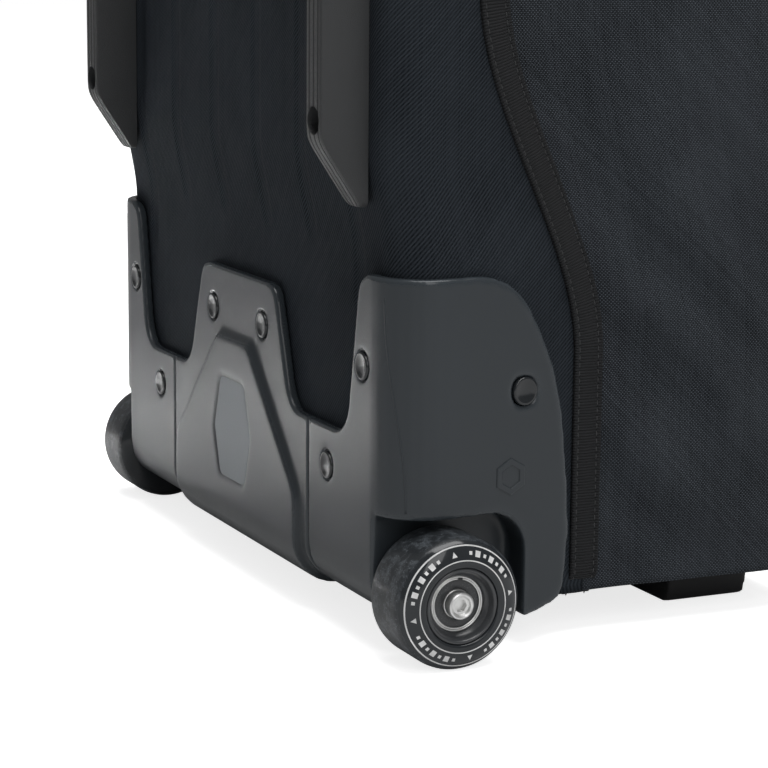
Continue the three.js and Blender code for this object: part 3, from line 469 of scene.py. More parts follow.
# Dust and handling marks: a slow cloudy mask and a fine speckle.
dust, dust_in, dust_out = shader_group(
    "dust", [("Scale", "NodeSocketFloat", 20.0), ("Spread", "NodeSocketFloat", 0.5)],
    [("Cloud", "NodeSocketFloat"), ("Speck", "NodeSocketFloat")])
maths, node, mix = tree_tools(dust)
place = node("ShaderNodeTexCoord").outputs["Object"]
cloud = node("ShaderNodeTexNoise", Vector=place, Scale=dust_in.outputs["Scale"], Detail=5.0, Roughness=0.6)
speck = node("ShaderNodeTexNoise", Vector=place, Scale=900.0, Detail=2.0)
cloud_mask = node("ShaderNodeMapRange", Value=cloud.outputs[0], From_Min=0.35, From_Max=0.7)
speck_mask = node("ShaderNodeMapRange", Value=speck.outputs[0], From_Min=0.66, From_Max=0.78)
dust.links.new(maths("MULTIPLY", cloud_mask.outputs[0], dust_in.outputs["Spread"]), dust_out.inputs["Cloud"])
dust.links.new(speck_mask.outputs[0], dust_out.inputs["Speck"])


def use_group(tree, group, **inputs):
    made = tree.nodes.new("ShaderNodeGroup")
    made.node_tree = group
    for name, value in inputs.items():
        feed(tree, made.inputs[name], value)
    return made


def woven(name, thread, repeat, dark, light, depth, sheen=0.03, rough=0.88, plane=None):
    """A woven finish. It follows the cloth's UV map, or the plane given as a turn of the object's axes."""
    material, tree, maths, node, mix, shader = blank_material(name)
    coordinates = node("ShaderNodeTexCoord")
    along = coordinates.outputs["UV"]
    if plane is not None:
        along = node("ShaderNodeMapping", Vector=coordinates.outputs["Object"], Rotation=plane).outputs[0]
    threads = use_group(tree, weave, Vector=along, Thread=thread * MM, Repeat=float(repeat))
    marks = use_group(tree, dust, Scale=14.0, Spread=0.5)
    height = threads.outputs["Height"]
    # The colour follows the weave's height. This is painted shade in the hollows between threads, with each
    # thread's own tone on its crown.
    tone = maths("MULTIPLY", height, maths("MULTIPLY_ADD", threads.outputs["Tone"], 1.0, 0.1))
    cloth = mix(tone, tint(dark), tint(light))
    dusty = mix(maths("MULTIPLY", marks.outputs["Cloud"], 0.25), cloth, tint(light, 1.8, 0.004))
    bump = surface(tree, shader, dusty, maths("MULTIPLY_ADD", height, -0.12, rough), height, depth)
    bump.inputs["Strength"].default_value = 0.9
    paint(material, Sheen_Weight=sheen, Sheen_Roughness=0.5, Specular_IOR_Level=0.06)
    return material


TWILL_DARK = (0.0030, 0.0040, 0.0055)
TWILL_LIGHT = (0.054, 0.064, 0.077)
twill = woven("tub_twill", 0.44, 4, TWILL_DARK, TWILL_LIGHT, 0.22, sheen=0.0)
fitted(tub, twill, "bag", "tub_fabric", "back_tub")


# ---------------------------------------------------------------- front gussets
# Two strips of coarser oxford cloth with no board behind them, sewn to the tub under the binding tape
# and to the lid's zip at the front. They bulge a little and fall in slanting folds above the bottom seam.
GUSSET_FRONT_Y = depth_of(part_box("gusset_left")[0].y)
GUSSET_CLOTH = 1.1
GUSSET_STEPS = 48
HINGE_ROOM = 3.6  # the right gusset ends short by this, where the hinge tape takes over
FOLD_ALONG = (0.66, 0.75)
FOLD_STEP = 36
ZIP_ROOM_FROM = 180  # the cloth stays flat where the zip slider passes
OXFORD_DARK = (0.0024, 0.0031, 0.0042)
OXFORD_LIGHT = (0.084, 0.096, 0.112)


def gusset_out(side, y, z):
    seam = seam_y(z)
    across = (seam - y) / (seam - GUSSET_FRONT_Y)
    held = math.sin(math.pi * min(1, max(0, across))) ** 0.6
    ends = ease(z, FLOOR_Z, FLOOR_Z + 60) * (1 - ease(z, TOP_Z - 60, TOP_Z))
    place = Vector((side * 3.1, y / 90, z / 130))
    swell = 2.6 * ends + noise.noise(place) * 4.0 + noise.noise(place * 2.6) * 1.2
    slant = FOLD_ALONG[1] * y - FOLD_ALONG[0] * z + noise.noise(place * 1.3) * 26
    run = FOLD_ALONG[0] * y + FOLD_ALONG[1] * z
    wave = math.cos(2 * math.pi * slant / FOLD_STEP)
    crease = (wave if wave > 0 else -abs(wave) ** 0.6 * 1.15)
    low = (1 - ease(z, 120, 250)) * ease(z, 20, 60) * (1 - 0.75 * ease(-y, 110, 165))
    high = 0.12 * ease(z, 290, 420)
    creep = 0.4 * noise.noise(Vector((run / 30, slant / 9, side)))
    out = held * (swell + crease * (2.2 * low + high) + creep)
    return out + (min(out, -0.4) - out) * ease(-y, ZIP_ROOM_FROM, ZIP_ROOM_FROM + 7)


oxford = woven("gusset_oxford", 0.74, 2, OXFORD_DARK, OXFORD_LIGHT, 0.55, sheen=0.02)
for name, side in (("left", -1), ("right", 1)):
    front = GUSSET_FRONT_Y if side < 0 else GUSSET_FRONT_Y - HINGE_ROOM
    rows = []
    for z in heights((FLOOR_Z, 330, 2.6), (330, 1560, 13), (1560, TOP_Z, 8)):
        seam = seam_y(z) - 0.2
        row = []
        for j in range(GUSSET_STEPS + 1):
            y = seam + (front - seam) * j / GUSSET_STEPS
            row.append((side * (side_x(y) + gusset_out(side, y, z)), y, z))
        rows.append(row)
    gusset = cloth_grid(f"front_gusset_{name}", rows, flip=side > 0)
    thicken(gusset, GUSSET_CLOTH)
    settled(gusset)
    fitted(gusset, oxford, "bag", "gusset_fabric", f"gusset_{name}")


# ---------------------------------------------------------------- binding tapes
# Black grosgrain tape, 13 mm wide, folded over the seam between the tub and each gusset and sewn down
# with two rows of lockstitch. The rows sink the tape a little.
TAPE_BOTTOM_Z = FLOOR_Z - 2
ROW_OFFSET = 4.3
BEAD_SIDES = 6
TAPE_LIFT = 1.75
ROW_SINK = 0.45
SELVAGE_DROP = 0.55
TAPE_ACROSS = (-6.5, -6.4, -5.6, -4.7, -4.3, -3.9, -2.4, 0, 2.4, 3.9, 4.3, 4.7, 5.6, 6.4, 6.5)


def tape_lift(across):
    edge = abs(across)
    if edge >= 6.45:
        return 0.1
    sink = ROW_SINK * math.exp(-((edge - ROW_OFFSET) / 0.45) ** 2)
    return TAPE_LIFT - sink + 0.12 * math.cos(math.pi * across / 3) - (SELVAGE_DROP if edge > 6 else 0)


def seam_frame(z):
    """The seam's middle, with the tape's crosswise direction, at one height on the side of the bag."""
    slope = (seam_y(z + 1) - seam_y(z - 1)) / 2
    return seam_y(z), Vector((1, -slope)).normalized()


def on_tape(side, z, across, lift):
    y, cross = seam_frame(z)
    y_here = y + cross.x * across
    z_here = z + cross.y * across
    tuck = 7 * (1 - ease(z_here, FLOOR_Z - 3, FLOOR_Z + 9))
    return (side * (side_x(y_here) + lift - tuck), y_here, z_here)


# A run of like pieces along a path: stitches, zip teeth, printed dashes. Each is a stretched bead that
# lies along the path with its top towards the path's "up" direction.
beads = bpy.data.node_groups.new("beads_along", "GeometryNodeTree")
beads.interface.new_socket("Geometry", in_out="INPUT", socket_type="NodeSocketGeometry")
for socket in ("Spacing", "Length", "Width", "Height"):
    beads.interface.new_socket(socket, in_out="INPUT", socket_type="NodeSocketFloat")
beads.interface.new_socket("Sides", in_out="INPUT", socket_type="NodeSocketInt")
beads.interface.new_socket("Material", in_out="INPUT", socket_type="NodeSocketMaterial")
beads.interface.new_socket("Geometry", in_out="OUTPUT", socket_type="NodeSocketGeometry")
bead_in = beads.nodes.new("NodeGroupInput")
bead_out = beads.nodes.new("NodeGroupOutput")
path = beads.nodes.new("GeometryNodeMeshToCurve")
resample = beads.nodes.new("GeometryNodeResampleCurve")
resample.mode = "LENGTH"
bead = beads.nodes.new("GeometryNodeMeshUVSphere")
bead.inputs["Rings"].default_value = 4
bead.inputs["Radius"].default_value = 0.5
size = beads.nodes.new("ShaderNodeCombineXYZ")
tangent = beads.nodes.new("GeometryNodeInputTangent")
up_name = beads.nodes.new("GeometryNodeInputNamedAttribute")
up_name.data_type = "FLOAT_VECTOR"
up_name.inputs["Name"].default_value = "up"
lay = beads.nodes.new("FunctionNodeAxesToRotation")
lay.primary_axis = "X"
lay.secondary_axis = "Z"
scatter = beads.nodes.new("GeometryNodeInstanceOnPoints")
realize = beads.nodes.new("GeometryNodeRealizeInstances")
smooth = beads.nodes.new("GeometryNodeSetShadeSmooth")
dress = beads.nodes.new("GeometryNodeSetMaterial")
for a, b in (
        (bead_in.outputs["Geometry"], path.inputs[0]), (path.outputs[0], resample.inputs["Curve"]),
        (bead_in.outputs["Spacing"], resample.inputs["Length"]),
        (bead_in.outputs["Sides"], bead.inputs["Segments"]),
        (bead_in.outputs["Length"], size.inputs[0]), (bead_in.outputs["Width"], size.inputs[1]),
        (bead_in.outputs["Height"], size.inputs[2]), (tangent.outputs[0], lay.inputs[0]),
        (up_name.outputs[0], lay.inputs[1]), (resample.outputs[0], scatter.inputs["Points"]),
        (bead.outputs[0], scatter.inputs["Instance"]), (size.outputs[0], scatter.inputs["Scale"]),
        (lay.outputs[0], scatter.inputs["Rotation"]), (scatter.outputs[0], realize.inputs[0]),
        (realize.outputs[0], smooth.inputs[0]), (smooth.outputs[0], dress.inputs["Geometry"]),
        (bead_in.outputs["Material"], dress.inputs["Material"]), (dress.outputs[0], bead_out.inputs[0])):
    beads.links.new(a, b)
bead_sockets = {s.name: s.identifier for s in beads.interface.items_tree if s.in_out == "INPUT"}


def beads_along(name, paths, spacing, length, width, height, material):
    """paths is a list of (points, ups); the result is one plain mesh of beads."""
    points, edges, ups = [], [], []
    for line, line_ups in paths:
        edges += [(len(points) + i, len(points) + i + 1) for i in range(len(line) - 1)]
        points += [spot(*p) for p in line]
        ups += line_ups
    mesh = bpy.data.meshes.new(name)
    mesh.from_pydata(points, edges, [])
    up = mesh.attributes.new("up", "FLOAT_VECTOR", "POINT")
    up.data.foreach_set("vector", np.array(ups, float).ravel())
    piece = in_scene(name, mesh)
    run = piece.modifiers.new("beads", "NODES")
    run.node_group = beads
    for socket, value in (("Spacing", spacing * MM), ("Length", length * MM), ("Width", width * MM),
                          ("Height", height * MM), ("Sides", BEAD_SIDES), ("Material", material)):
        run[bead_sockets[socket]] = value
    return settled(piece)


def thread_material(name, colour):
    material, tree, maths, node, mix, shader = blank_material(name)
    marks = use_group(tree, dust, Scale=60.0, Spread=1.0)
    tree.links.new(mix(marks.outputs["Cloud"], tint(colour), tint(colour, 1.7)), shader.inputs["Base Color"])
    paint(material, Roughness=0.55, Sheen_Weight=0.05)
    return material


def ribbed(name, rib, dark, light, depth):
    """Grosgrain: ribs that run across the tape, from the V of its UV map."""
    material, tree, maths, node, mix, shader = blank_material(name)
    laid = node("ShaderNodeTexCoord").outputs["UV"]
    axes = node("ShaderNodeSeparateXYZ", Vector=laid)
    wander = node("ShaderNodeTexNoise", Vector=laid, Scale=160.0, Detail=2.0)
    count = maths("DIVIDE", axes.outputs[1], rib * MM)
    count = maths("ADD", count, maths("MULTIPLY", wander.outputs[0], 0.5))
    ribs = maths("ABSOLUTE", maths("SINE", maths("MULTIPLY", count, math.pi)))
    marks = use_group(tree, dust, Scale=30.0, Spread=0.7)
    # The colour follows the ribs. This is painted shade in the grooves between them, with paler crowns and
    # dust marks on top.
    cloth = mix(maths("MULTIPLY_ADD", marks.outputs["Cloud"], 0.2, maths("MULTIPLY", ribs, 0.8)),
                tint(dark), tint(light))
    surface(tree, shader, cloth, maths("MULTIPLY_ADD", ribs, -0.15, 0.8), ribs, depth)
    paint(material, Sheen_Weight=0.03, Sheen_Roughness=0.5, Specular_IOR_Level=0.2)
    return material


black_thread = thread_material("black_thread", (0.015, 0.0155, 0.0165))
grosgrain = ribbed("grosgrain", 1.15, (0.0010, 0.0012, 0.0015), (0.0140, 0.0150, 0.0170), 0.5)
for name, side in (("left", -1), ("right", 1)):
    zs = heights((TAPE_BOTTOM_Z, 300, 2.5), (300, TOP_Z, 12))
    rows = [[on_tape(side, z, across, tape_lift(across)) for across in TAPE_ACROSS] for z in zs]
    tape = cloth_grid(f"seam_tape_{name}", rows, flip=side < 0)
    thicken(tape, 0.5)
    settled(tape)
    fitted(tape, grosgrain, "bag", "webbing", f"binding_tape_{name}")
    lines = []
    for offset in (-ROW_OFFSET, ROW_OFFSET):
        line = [on_tape(side, z, offset, 1.38) for z in zs]
        lines.append((line, [(side, 0, 0)] * len(line)))
    row = beads_along(f"seam_stitches_{name}", lines, 3.1, 2.3, 0.62, 0.55, black_thread)
    fitted(row, None, "bag", "webbing")


# ---------------------------------------------------------------- kick plate
# A charcoal satin plate in three mouldings: a centre with a raised panel, and a housing with a wheel
# well at each side. Their rims are rounded off, and their skin is a fine spark-eroded grain.
PLATE_GRAIN = 0.0011
WELD_GAP = 0.00002
PLAQUE = ((-15, 40), (15, 40), (22, 62), (14, 86), (-14, 86), (-22, 62))
PLAQUE_FLOOR_Y = 1.9
PLAQUE_FACE_Y = 2.35


def cad_copy(name, node):
    """A welded copy of a CAD node's mesh."""
    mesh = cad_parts[node].data.copy()
    mesh.name = name
    mesh.materials.clear()
    reworked(mesh, lambda edit: bmesh.ops.remove_doubles(edit, verts=edit.verts, dist=WELD_GAP))
    return in_scene(name, mesh)


def rounded_off(piece, voxel, passes):
    """Remeshes a welded solid and eases its edges, as a moulding's are."""
    remesh = piece.modifiers.new("grain", "REMESH")
    remesh.mode = "VOXEL"
    remesh.voxel_size = voxel
    remesh.use_smooth_shade = True
    ease_edges = piece.modifiers.new("ease", "SMOOTH")
    ease_edges.factor = 0.5
    ease_edges.iterations = passes
    return settled(piece)


def points_of(mesh):
    """The places and the normals of a mesh's points, one row each."""
    places = np.zeros(len(mesh.vertices) * 3)
    normals = np.zeros(len(mesh.vertices) * 3)
    mesh.vertices.foreach_get("co", places)
    mesh.vertex_normals.foreach_get("vector", normals)
    return places.reshape(-1, 3), normals.reshape(-1, 3)


def rim_attribute(piece):
    """Marks convex edges, from how far each point stands out from its neighbours, for wear."""
    mesh = piece.data
    count = len(mesh.vertices)
    places, normals = points_of(mesh)
    pairs = np.zeros(len(mesh.edges) * 2, int)
    mesh.edges.foreach_get("vertices", pairs)
    a, b = pairs.reshape(-1, 2).T
    gap = places[b] - places[a]
    length = np.maximum(np.linalg.norm(gap, axis=1), 1e-9)
    bend = np.einsum("ij,ij->i", normals[b] - normals[a], gap) / length
    total = np.zeros(count)
    weight = np.zeros(count)
    for ends in (a, b):
        np.add.at(total, ends, bend)
        np.add.at(weight, ends, 1)
    rim = np.clip(total / np.maximum(weight, 1) * 4, 0, 1)
    for _ in range(2):
        spread = np.zeros(count)
        np.add.at(spread, a, rim[b])
        np.add.at(spread, b, rim[a])
        rim = 0.5 * rim + 0.5 * spread / np.maximum(weight, 1)
    mesh.attributes.new("rim", "FLOAT", "POINT").data.foreach_set("value", rim.astype(np.float32))


def moulded(name, colour, rough, grain, grain_depth, wear=0, coat=0.0, shine=0.5):
    """Moulded plastic: a pitted skin, faint flow marks, dust, and rims rubbed paler."""
    material, tree, maths, node, mix, shader = blank_material(name)
    place = node("ShaderNodeTexCoord").outputs["Object"]
    skin = node("ShaderNodeTexNoise", Vector=place, Scale=1 / (grain * MM), Detail=3.0, Roughness=0.65)
    flow = node("ShaderNodeTexNoise", Vector=place, Scale=9.0, Detail=3.0)
    marks = use_group(tree, dust, Scale=11.0, Spread=0.6)
    rim = node("ShaderNodeAttribute")
    rim.attribute_name = "rim"
    pale = tint(colour, 2.1, 0.01)
    base = mix(maths("MULTIPLY", flow.outputs[0], 0.5), tint(colour), tint(colour, 1.25))
    dusty = mix(maths("MULTIPLY", marks.outputs["Cloud"], 0.14), base, pale)
    specked = mix(maths("MULTIPLY", marks.outputs["Speck"], 0.10), dusty, pale)
    worn = mix(maths("MULTIPLY", rim.outputs["Fac"], wear), specked, pale)
    gloss = maths("MULTIPLY_ADD", skin.outputs[0], 0.1, rough)
    gloss = maths("MULTIPLY_ADD", marks.outputs["Cloud"], 0.12, gloss)
    gloss = maths("SUBTRACT", gloss, maths("MULTIPLY", rim.outputs["Fac"], 0.16))
    surface(tree, shader, worn, gloss, skin.outputs[0], grain_depth)
    paint(material, Coat_Weight=coat, Coat_Roughness=0.12, Specular_IOR_Level=shine)
    return material


def prism(name, outline, y0, y1):
    """A closed prism along Y of an outline in X and Z."""
    count = len(outline)
    points = [(x, y0, z) for x, z in outline] + [(x, y1, z) for x, z in outline]
    faces = [tuple(range(count)), tuple(reversed(range(count, 2 * count)))]
    faces += [(i, i + count, (i + 1) % count + count, (i + 1) % count) for i in range(count)]
    piece = mesh_of(name, points, faces, smooth=False)
    faced_out(piece.data)
    return piece


def rounded_outline(corners, radius, steps=5):
    points = []
    for i, corner in enumerate(corners):
        here = Vector(corner)
        before = (Vector(corners[i - 1]) - here).normalized()
        after = (Vector(corners[(i + 1) % len(corners)]) - here).normalized()
        half = before.angle(after) / 2
        centre = here + (before + after).normalized() * radius / math.sin(half)
        start = here + before * radius / math.tan(half) - centre
        end = here + after * radius / math.tan(half) - centre
        sweep = math.atan2(start.x * end.y - start.y * end.x, start.dot(end))
        for step in range(steps + 1):
            angle = sweep * step / steps
            points.append((centre.x + start.x * math.cos(angle) - start.y * math.sin(angle),
                           centre.y + start.x * math.sin(angle) + start.y * math.cos(angle)))
    return points


def cut_from(piece, cutter):
    cut = piece.modifiers.new("cut", "BOOLEAN")
    cut.operation = "DIFFERENCE"
    cut.object = cutter
    cut.solver = "EXACT"
    settled(piece)
    bpy.data.objects.remove(cutter)


plate_skin = moulded("plate_skin", (0.0235, 0.0285, 0.0330), 0.27, 0.45, 0.03, wear=0.4, coat=0.05,
                     shine=0.34)
centre = cad_copy("kick_plate_middle", "kick_plate_centre")
cut_from(centre, prism("plaque_room", rounded_outline(PLAQUE, 5), PLAQUE_FLOOR_Y, 10))
for name, node in (("kick_plate_middle", "kick_plate_centre"), ("wheel_housing_near", "wheel_housing_left"),
                   ("wheel_housing_far", "wheel_housing_right")):
    plate = centre if node == "kick_plate_centre" else cad_copy(name, node)
    rounded_off(plate, PLATE_GRAIN, 10)
    rim_attribute(plate)
    fitted(plate, plate_skin, "bag", "plate", node)

# The plaque is a separate smoother insert, a plain six-sided shape.
inner = [(x * 0.955, 63 + (z - 63) * 0.97) for x, z in PLAQUE]
plaque = prism("plate_plaque", rounded_outline(inner, 4.5), PLAQUE_FLOOR_Y - 0.6, PLAQUE_FACE_Y)
bevel = plaque.modifiers.new("bevel", "BEVEL")
bevel.width = 0.4 * MM
bevel.segments = 3
bevel.limit_method = "ANGLE"
settled(plaque)
fitted(plaque, moulded("plaque_skin", (0.104, 0.122, 0.140), 0.28, 0.5, 0.012), "bag", "plate")


def skin(rings, wide, closed=False):
    """Quads between rings of points, with both ends capped unless the last ring meets the first."""
    faces = []
    for i in range(rings if closed else rings - 1):
        a, b = i * wide, (i + 1) % rings * wide
        faces += [(a + j, a + (j + 1) % wide, b + (j + 1) % wide, b + j) for j in range(wide)]
    if not closed:
        faces += [tuple(range(wide)), tuple(reversed(range((rings - 1) * wide, rings * wide)))]
    return faces


# A fine parting line from the mould runs down each rear corner, and a small raised six-sided mark sits
# low on each side.
CORNER_CENTRE = (143.4, -21)
LINE_R = 0.28
MARK_MIDDLE = (-52, 70)
MARK_SIZE = 7.5
MARK_RINGS = ((1, -0.5), (1, 0.25), (0.93, 0.45), (0.66, 0.45), (0.6, 0.2), (0.6, -0.5))
for name, sign in (("near", -1), ("far", 1)):
    housing = bpy.data.objects[f"wheel_housing_{name}"]
    path = []
    for z in heights((59, 141, 2)):
        turn = math.radians(15 + 29 * (1 - ease(z, 62, 140)))
        aim = Vector((-sign * math.sin(turn), -math.cos(turn), 0))
        start = spot(sign * CORNER_CENTRE[0], CORNER_CENTRE[1], z) - aim * 0.06
        hit, place, normal, face = housing.ray_cast(start, aim)
        if hit:
            path.append((place / MM, normal))
    points = []
    for place, normal in path:
        side_way = normal.cross(Vector((0, 0, 1))).normalized()
        for across, out in ((-2.2, -0.3), (-0.7, 0.5), (0.7, 0.5), (2.2, -0.3)):
            point = place + side_way * across * LINE_R + normal * out * LINE_R
            points.append((point.x, point.y - PLATE_FACE / MM, point.z))
    line = mesh_of(f"parting_line_{name}", points, skin(len(path), 4))
    points = []
    for scale, out in MARK_RINGS:
        for i in range(6):
            turn = math.pi / 3 * i + math.pi / 6
            y = MARK_MIDDLE[0] + math.cos(turn) * MARK_SIZE * scale
            z = MARK_MIDDLE[1] + math.sin(turn) * MARK_SIZE * scale
            hit, place, normal, face = housing.ray_cast(spot(sign * 190, y, z), Vector((-sign, 0, 0)))
            place = place / MM + normal * out
            points.append((place.x, place.y - PLATE_FACE / MM, place.z))
    badge = mesh_of(f"side_mark_{name}", points, skin(len(MARK_RINGS), 6, closed=True), smooth=False)
    for piece in (line, badge):
        faced_out(piece.data)
        fitted(piece, plate_skin, "bag", "plate")


# ---------------------------------------------------------------- rivets
# Eight dished plastic rivets hold the plate to the tub's foam board. Each glossy head sits in a ring.
RIVET_PROFILE = ((0, -0.55), (1.6, -0.5), (3.2, -0.25), (4.4, 0.12), (4.9, 0.22), (5.3, 0.12),
                 (5.6, -0.25), (5.6, -3.5))
RIVET_PLACES = ("tower", "valley", "tab", "side")
rivet_places = []
for name in RIVET_PLACES:
    for side in ("left", "right"):
        low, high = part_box(f"rivet_{name}_{side}")
        sign = -1 if side == "left" else 1
        middle = (low + high) / 2
        if name == "side":
            out = Vector((sign, -0.145, 0)).normalized()
            head = Vector((high.x if sign > 0 else low.x, middle.y - 0.0008, middle.z)) - out * 0.0014
        else:
            out = Vector((0, 1, 0))
            head = Vector((middle.x, high.y - 0.0002, middle.z))
        rivet_places.append((head, out))

rivets = bpy.data.node_groups.new("rivets", "GeometryNodeTree")
rivets.interface.new_socket("Geometry", in_out="INPUT", socket_type="NodeSocketGeometry")
rivets.interface.new_socket("Head", in_out="INPUT", socket_type="NodeSocketObject")
rivets.interface.new_socket("Size", in_out="INPUT", socket_type="NodeSocketFloat")
rivets.interface.new_socket("Material", in_out="INPUT", socket_type="NodeSocketMaterial")
rivets.interface.new_socket("Geometry", in_out="OUTPUT", socket_type="NodeSocketGeometry")
rivet_in = rivets.nodes.new("NodeGroupInput")
rivet_out = rivets.nodes.new("NodeGroupOutput")
head_shape = rivets.nodes.new("GeometryNodeObjectInfo")
out_name = rivets.nodes.new("GeometryNodeInputNamedAttribute")
out_name.data_type = "FLOAT_VECTOR"
out_name.inputs["Name"].default_value = "up"
aim = rivets.nodes.new("FunctionNodeAlignRotationToVector")
aim.axis = "Z"
scatter = rivets.nodes.new("GeometryNodeInstanceOnPoints")
realize = rivets.nodes.new("GeometryNodeRealizeInstances")
dress = rivets.nodes.new("GeometryNodeSetMaterial")
for a, b in (
        (rivet_in.outputs["Geometry"], scatter.inputs["Points"]),
        (rivet_in.outputs["Head"], head_shape.inputs[0]),
        (head_shape.outputs["Geometry"], scatter.inputs["Instance"]),
        (out_name.outputs[0], aim.inputs["Vector"]), (aim.outputs[0], scatter.inputs["Rotation"]),
        (rivet_in.outputs["Size"], scatter.inputs["Scale"]), (scatter.outputs[0], realize.inputs[0]),
        (realize.outputs[0], dress.inputs["Geometry"]),
        (rivet_in.outputs["Material"], dress.inputs["Material"]), (dress.outputs[0], rivet_out.inputs[0])):
    rivets.links.new(a, b)
rivet_sockets = {s.name: s.identifier for s in rivets.interface.items_tree if s.in_out == "INPUT"}


def lathe(name, profile, sides, closed=False):
    """Turns (radius, height) points about Z, in metres, with the poles closed."""
    points, rings = [], []
    for radius, height in profile:
        if radius < 1e-9:
            points.append((0, 0, height))
            rings.append([len(points) - 1] * sides)
            continue
        rings.append(list(range(len(points), len(points) + sides)))
        turns = [2 * math.pi * i / sides for i in range(sides)]
        points += [(radius * math.cos(turn), radius * math.sin(turn), height) for turn in turns]
    faces = []
    pairs = list(zip(rings, rings[1:])) + ([(rings[-1], rings[0])] if closed else [])
    for lower, upper in pairs:
        for i in range(sides):
            j = (i + 1) % sides
            corners = []
            for index in (lower[i], lower[j], upper[j], upper[i]):
                if index not in corners:
                    corners.append(index)
            if len(corners) > 2:
                faces.append(corners)
    mesh = bpy.data.meshes.new(name)
    mesh.from_pydata(points, [], faces)
    faced_out(mesh)
    mesh.shade_smooth()
    return mesh


head_mesh = lathe("rivet_head", [(r * MM, h * MM) for r, h in RIVET_PROFILE], 32)
rivet_head = bpy.data.objects.new("rivet_head", head_mesh)
mesh = bpy.data.meshes.new("plate_rivets")
mesh.from_pydata([head for head, out in rivet_places], [], [])
up = mesh.attributes.new("up", "FLOAT_VECTOR", "POINT")
up.data.foreach_set("vector", [c for head, out in rivet_places for c in out])
plate_rivets = in_scene("plate_rivets", mesh)
run = plate_rivets.modifiers.new("rivets", "NODES")
run.node_group = rivets
run[rivet_sockets["Head"]] = rivet_head
run[rivet_sockets["Size"]] = 1.0
run[rivet_sockets["Material"]] = moulded("rivet_gloss", (0.010, 0.012, 0.014), 0.08, 0.8, 0.003)
settled(plate_rivets)
bpy.data.objects.remove(rivet_head)
rivet_nodes = [f"rivet_{n}_{s}" for n in RIVET_PLACES for s in ("left", "right")]
fitted(plate_rivets, None, "bag", "rivet", *rivet_nodes)


# ---------------------------------------------------------------- wheels
# Two 52 mm skate wheels: a poured urethane tyre on a hard moulded core, two sealed bearings, and a
# zinc plated axle bolt from outside. A white ring, dashes and small triangles are printed on each face.
TYRE_FACE = ((15.0, 15.2), (15.1, 15.9), (15.5, 16.2), (16.6, 16.25), (18.4, 16.15), (20, 15.75),
             (22, 14.95), (23.6, 13.95), (24.6, 13.05), (25.4, 11.8), (25.85, 10.6), (26, 9.4),
             (26, 4.5), (26, 0))
CORE_FACE = ((14.9, 3), (14.9, 15.3), (14.7, 15.75), (14.2, 15.95), (13.7, 15.85), (13.35, 15.4),
             (12.9, 13.6), (12.4, 12.6), (11.6, 12.0), (11.15, 11.6), (11.02, 11), (11.02, 4.1),
             (6.2, 4.1), (6.2, 0))
RACE = ((11, 4.4), (11, 10.9), (10.7, 11.2), (10.3, 11.2), (10.15, 10.9), (10.15, 4.4))
INNER_RACE = ((5.7, 4.4), (5.7, 11.0), (5.5, 11.2), (4.2, 11.2), (4.0, 11.0), (4.0, 4.4))
SHIELD = ((10.2, 10.3), (9.2, 10.55), (7.5, 10.7), (6.4, 10.6), (5.6, 10.3), (5.6, 9.6), (10.2, 9.6))
BOLT = ((0, 14.3), (3.4, 14.3), (3.9, 15.2), (4.6, 15.5), (5.1, 15.2), (5.4, 14.5), (5.4, 11.5), (3.8, 11.4),
        (3.8, -54.2), (0, -54.2))
SOCKET = ((0, 12.6), (2.6, 12.6), (2.6, 18), (0, 18))
SPACER = ((5.5, -3.8), (5.5, 3.8), (4.1, 3.8), (4.1, -3.8))
CLIP_R = 9.75
CLIP_HEIGHT = 10.85
RING_LINES = ((23.25, 23.75), (17.75, 18.2))
MARK_ROW = (19.7, 22.0)
MARK_TURN = math.radians(-10)
RING_STEPS = 96
TREAD_FROM_R = 24.6
TREAD_TO_R = 25.7


def mirrored(profile):
    return list(profile) + [(r, -h) for r, h in reversed(profile[:-1])]


def along_axle(piece_name, mesh, wheel, toward=1):
    """Lays a turned mesh, in millimetres, on a wheel's axle, with its +Z end outwards, or inwards for -1."""
    low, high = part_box(f"tyre_{wheel}")
    middle = (low + high) / 2
    side = toward * (-1 if wheel == "left" else 1)
    axle = Matrix(((0, 0, side * MM, middle.x), (MM, 0, 0, middle.y), (0, MM, 0, middle.z), (0, 0, 0, 1)))
    mesh.transform(axle)
    if side < 0:
        mesh.flip_normals()
    mesh.name = piece_name
    return in_scene(piece_name, mesh)


def face_height(radius):
    return float(np.interp(radius, [r for r, h in TYRE_FACE], [h for r, h in TYRE_FACE]))


def facing_up(edit):
    for face in edit.faces:
        face.normal_update()
        if face.normal.z < 0:
            face.normal_flip()


def printed(polygons):
    """Thin print on the tyre's face, from polygons of (turn, radius) corners."""
    points, faces = [], []
    for polygon in polygons:
        faces.append(list(range(len(points), len(points) + len(polygon))))
        points += [(r * math.cos(turn), r * math.sin(turn), face_height(r) + 0.06) for turn, r in polygon]
    mesh = bpy.data.meshes.new("print")
    mesh.from_pydata(points, [], faces)
    return reworked(mesh, facing_up)


def ring_part(turn, half, low_r, high_r):
    return ((turn - half, low_r), (turn + half, low_r), (turn + half, high_r), (turn - half, high_r))


polygons = []
for inner_r, outer_r in RING_LINES:
    for i in range(RING_STEPS):
        a, b = 2 * math.pi * i / RING_STEPS, 2 * math.pi * (i + 1) / RING_STEPS
        polygons.append(((a, inner_r), (b, inner_r), (b, outer_r), (a, outer_r)))
for quarter in range(4):
    middle = math.pi / 2 * quarter + MARK_TURN
    low_r, high_r = MARK_ROW
    polygons.append(((middle - 0.055, low_r), (middle + 0.055, low_r), (middle, high_r - 0.2)))
    for step in range(-3, 4):
        turn = middle + math.pi / 4 + step * math.radians(8.6)
        half = 0.030 if step % 2 else 0.052
        inset = 0.5 if step % 2 else 0
        polygons.append(ring_part(turn, half, low_r + inset, high_r - inset))


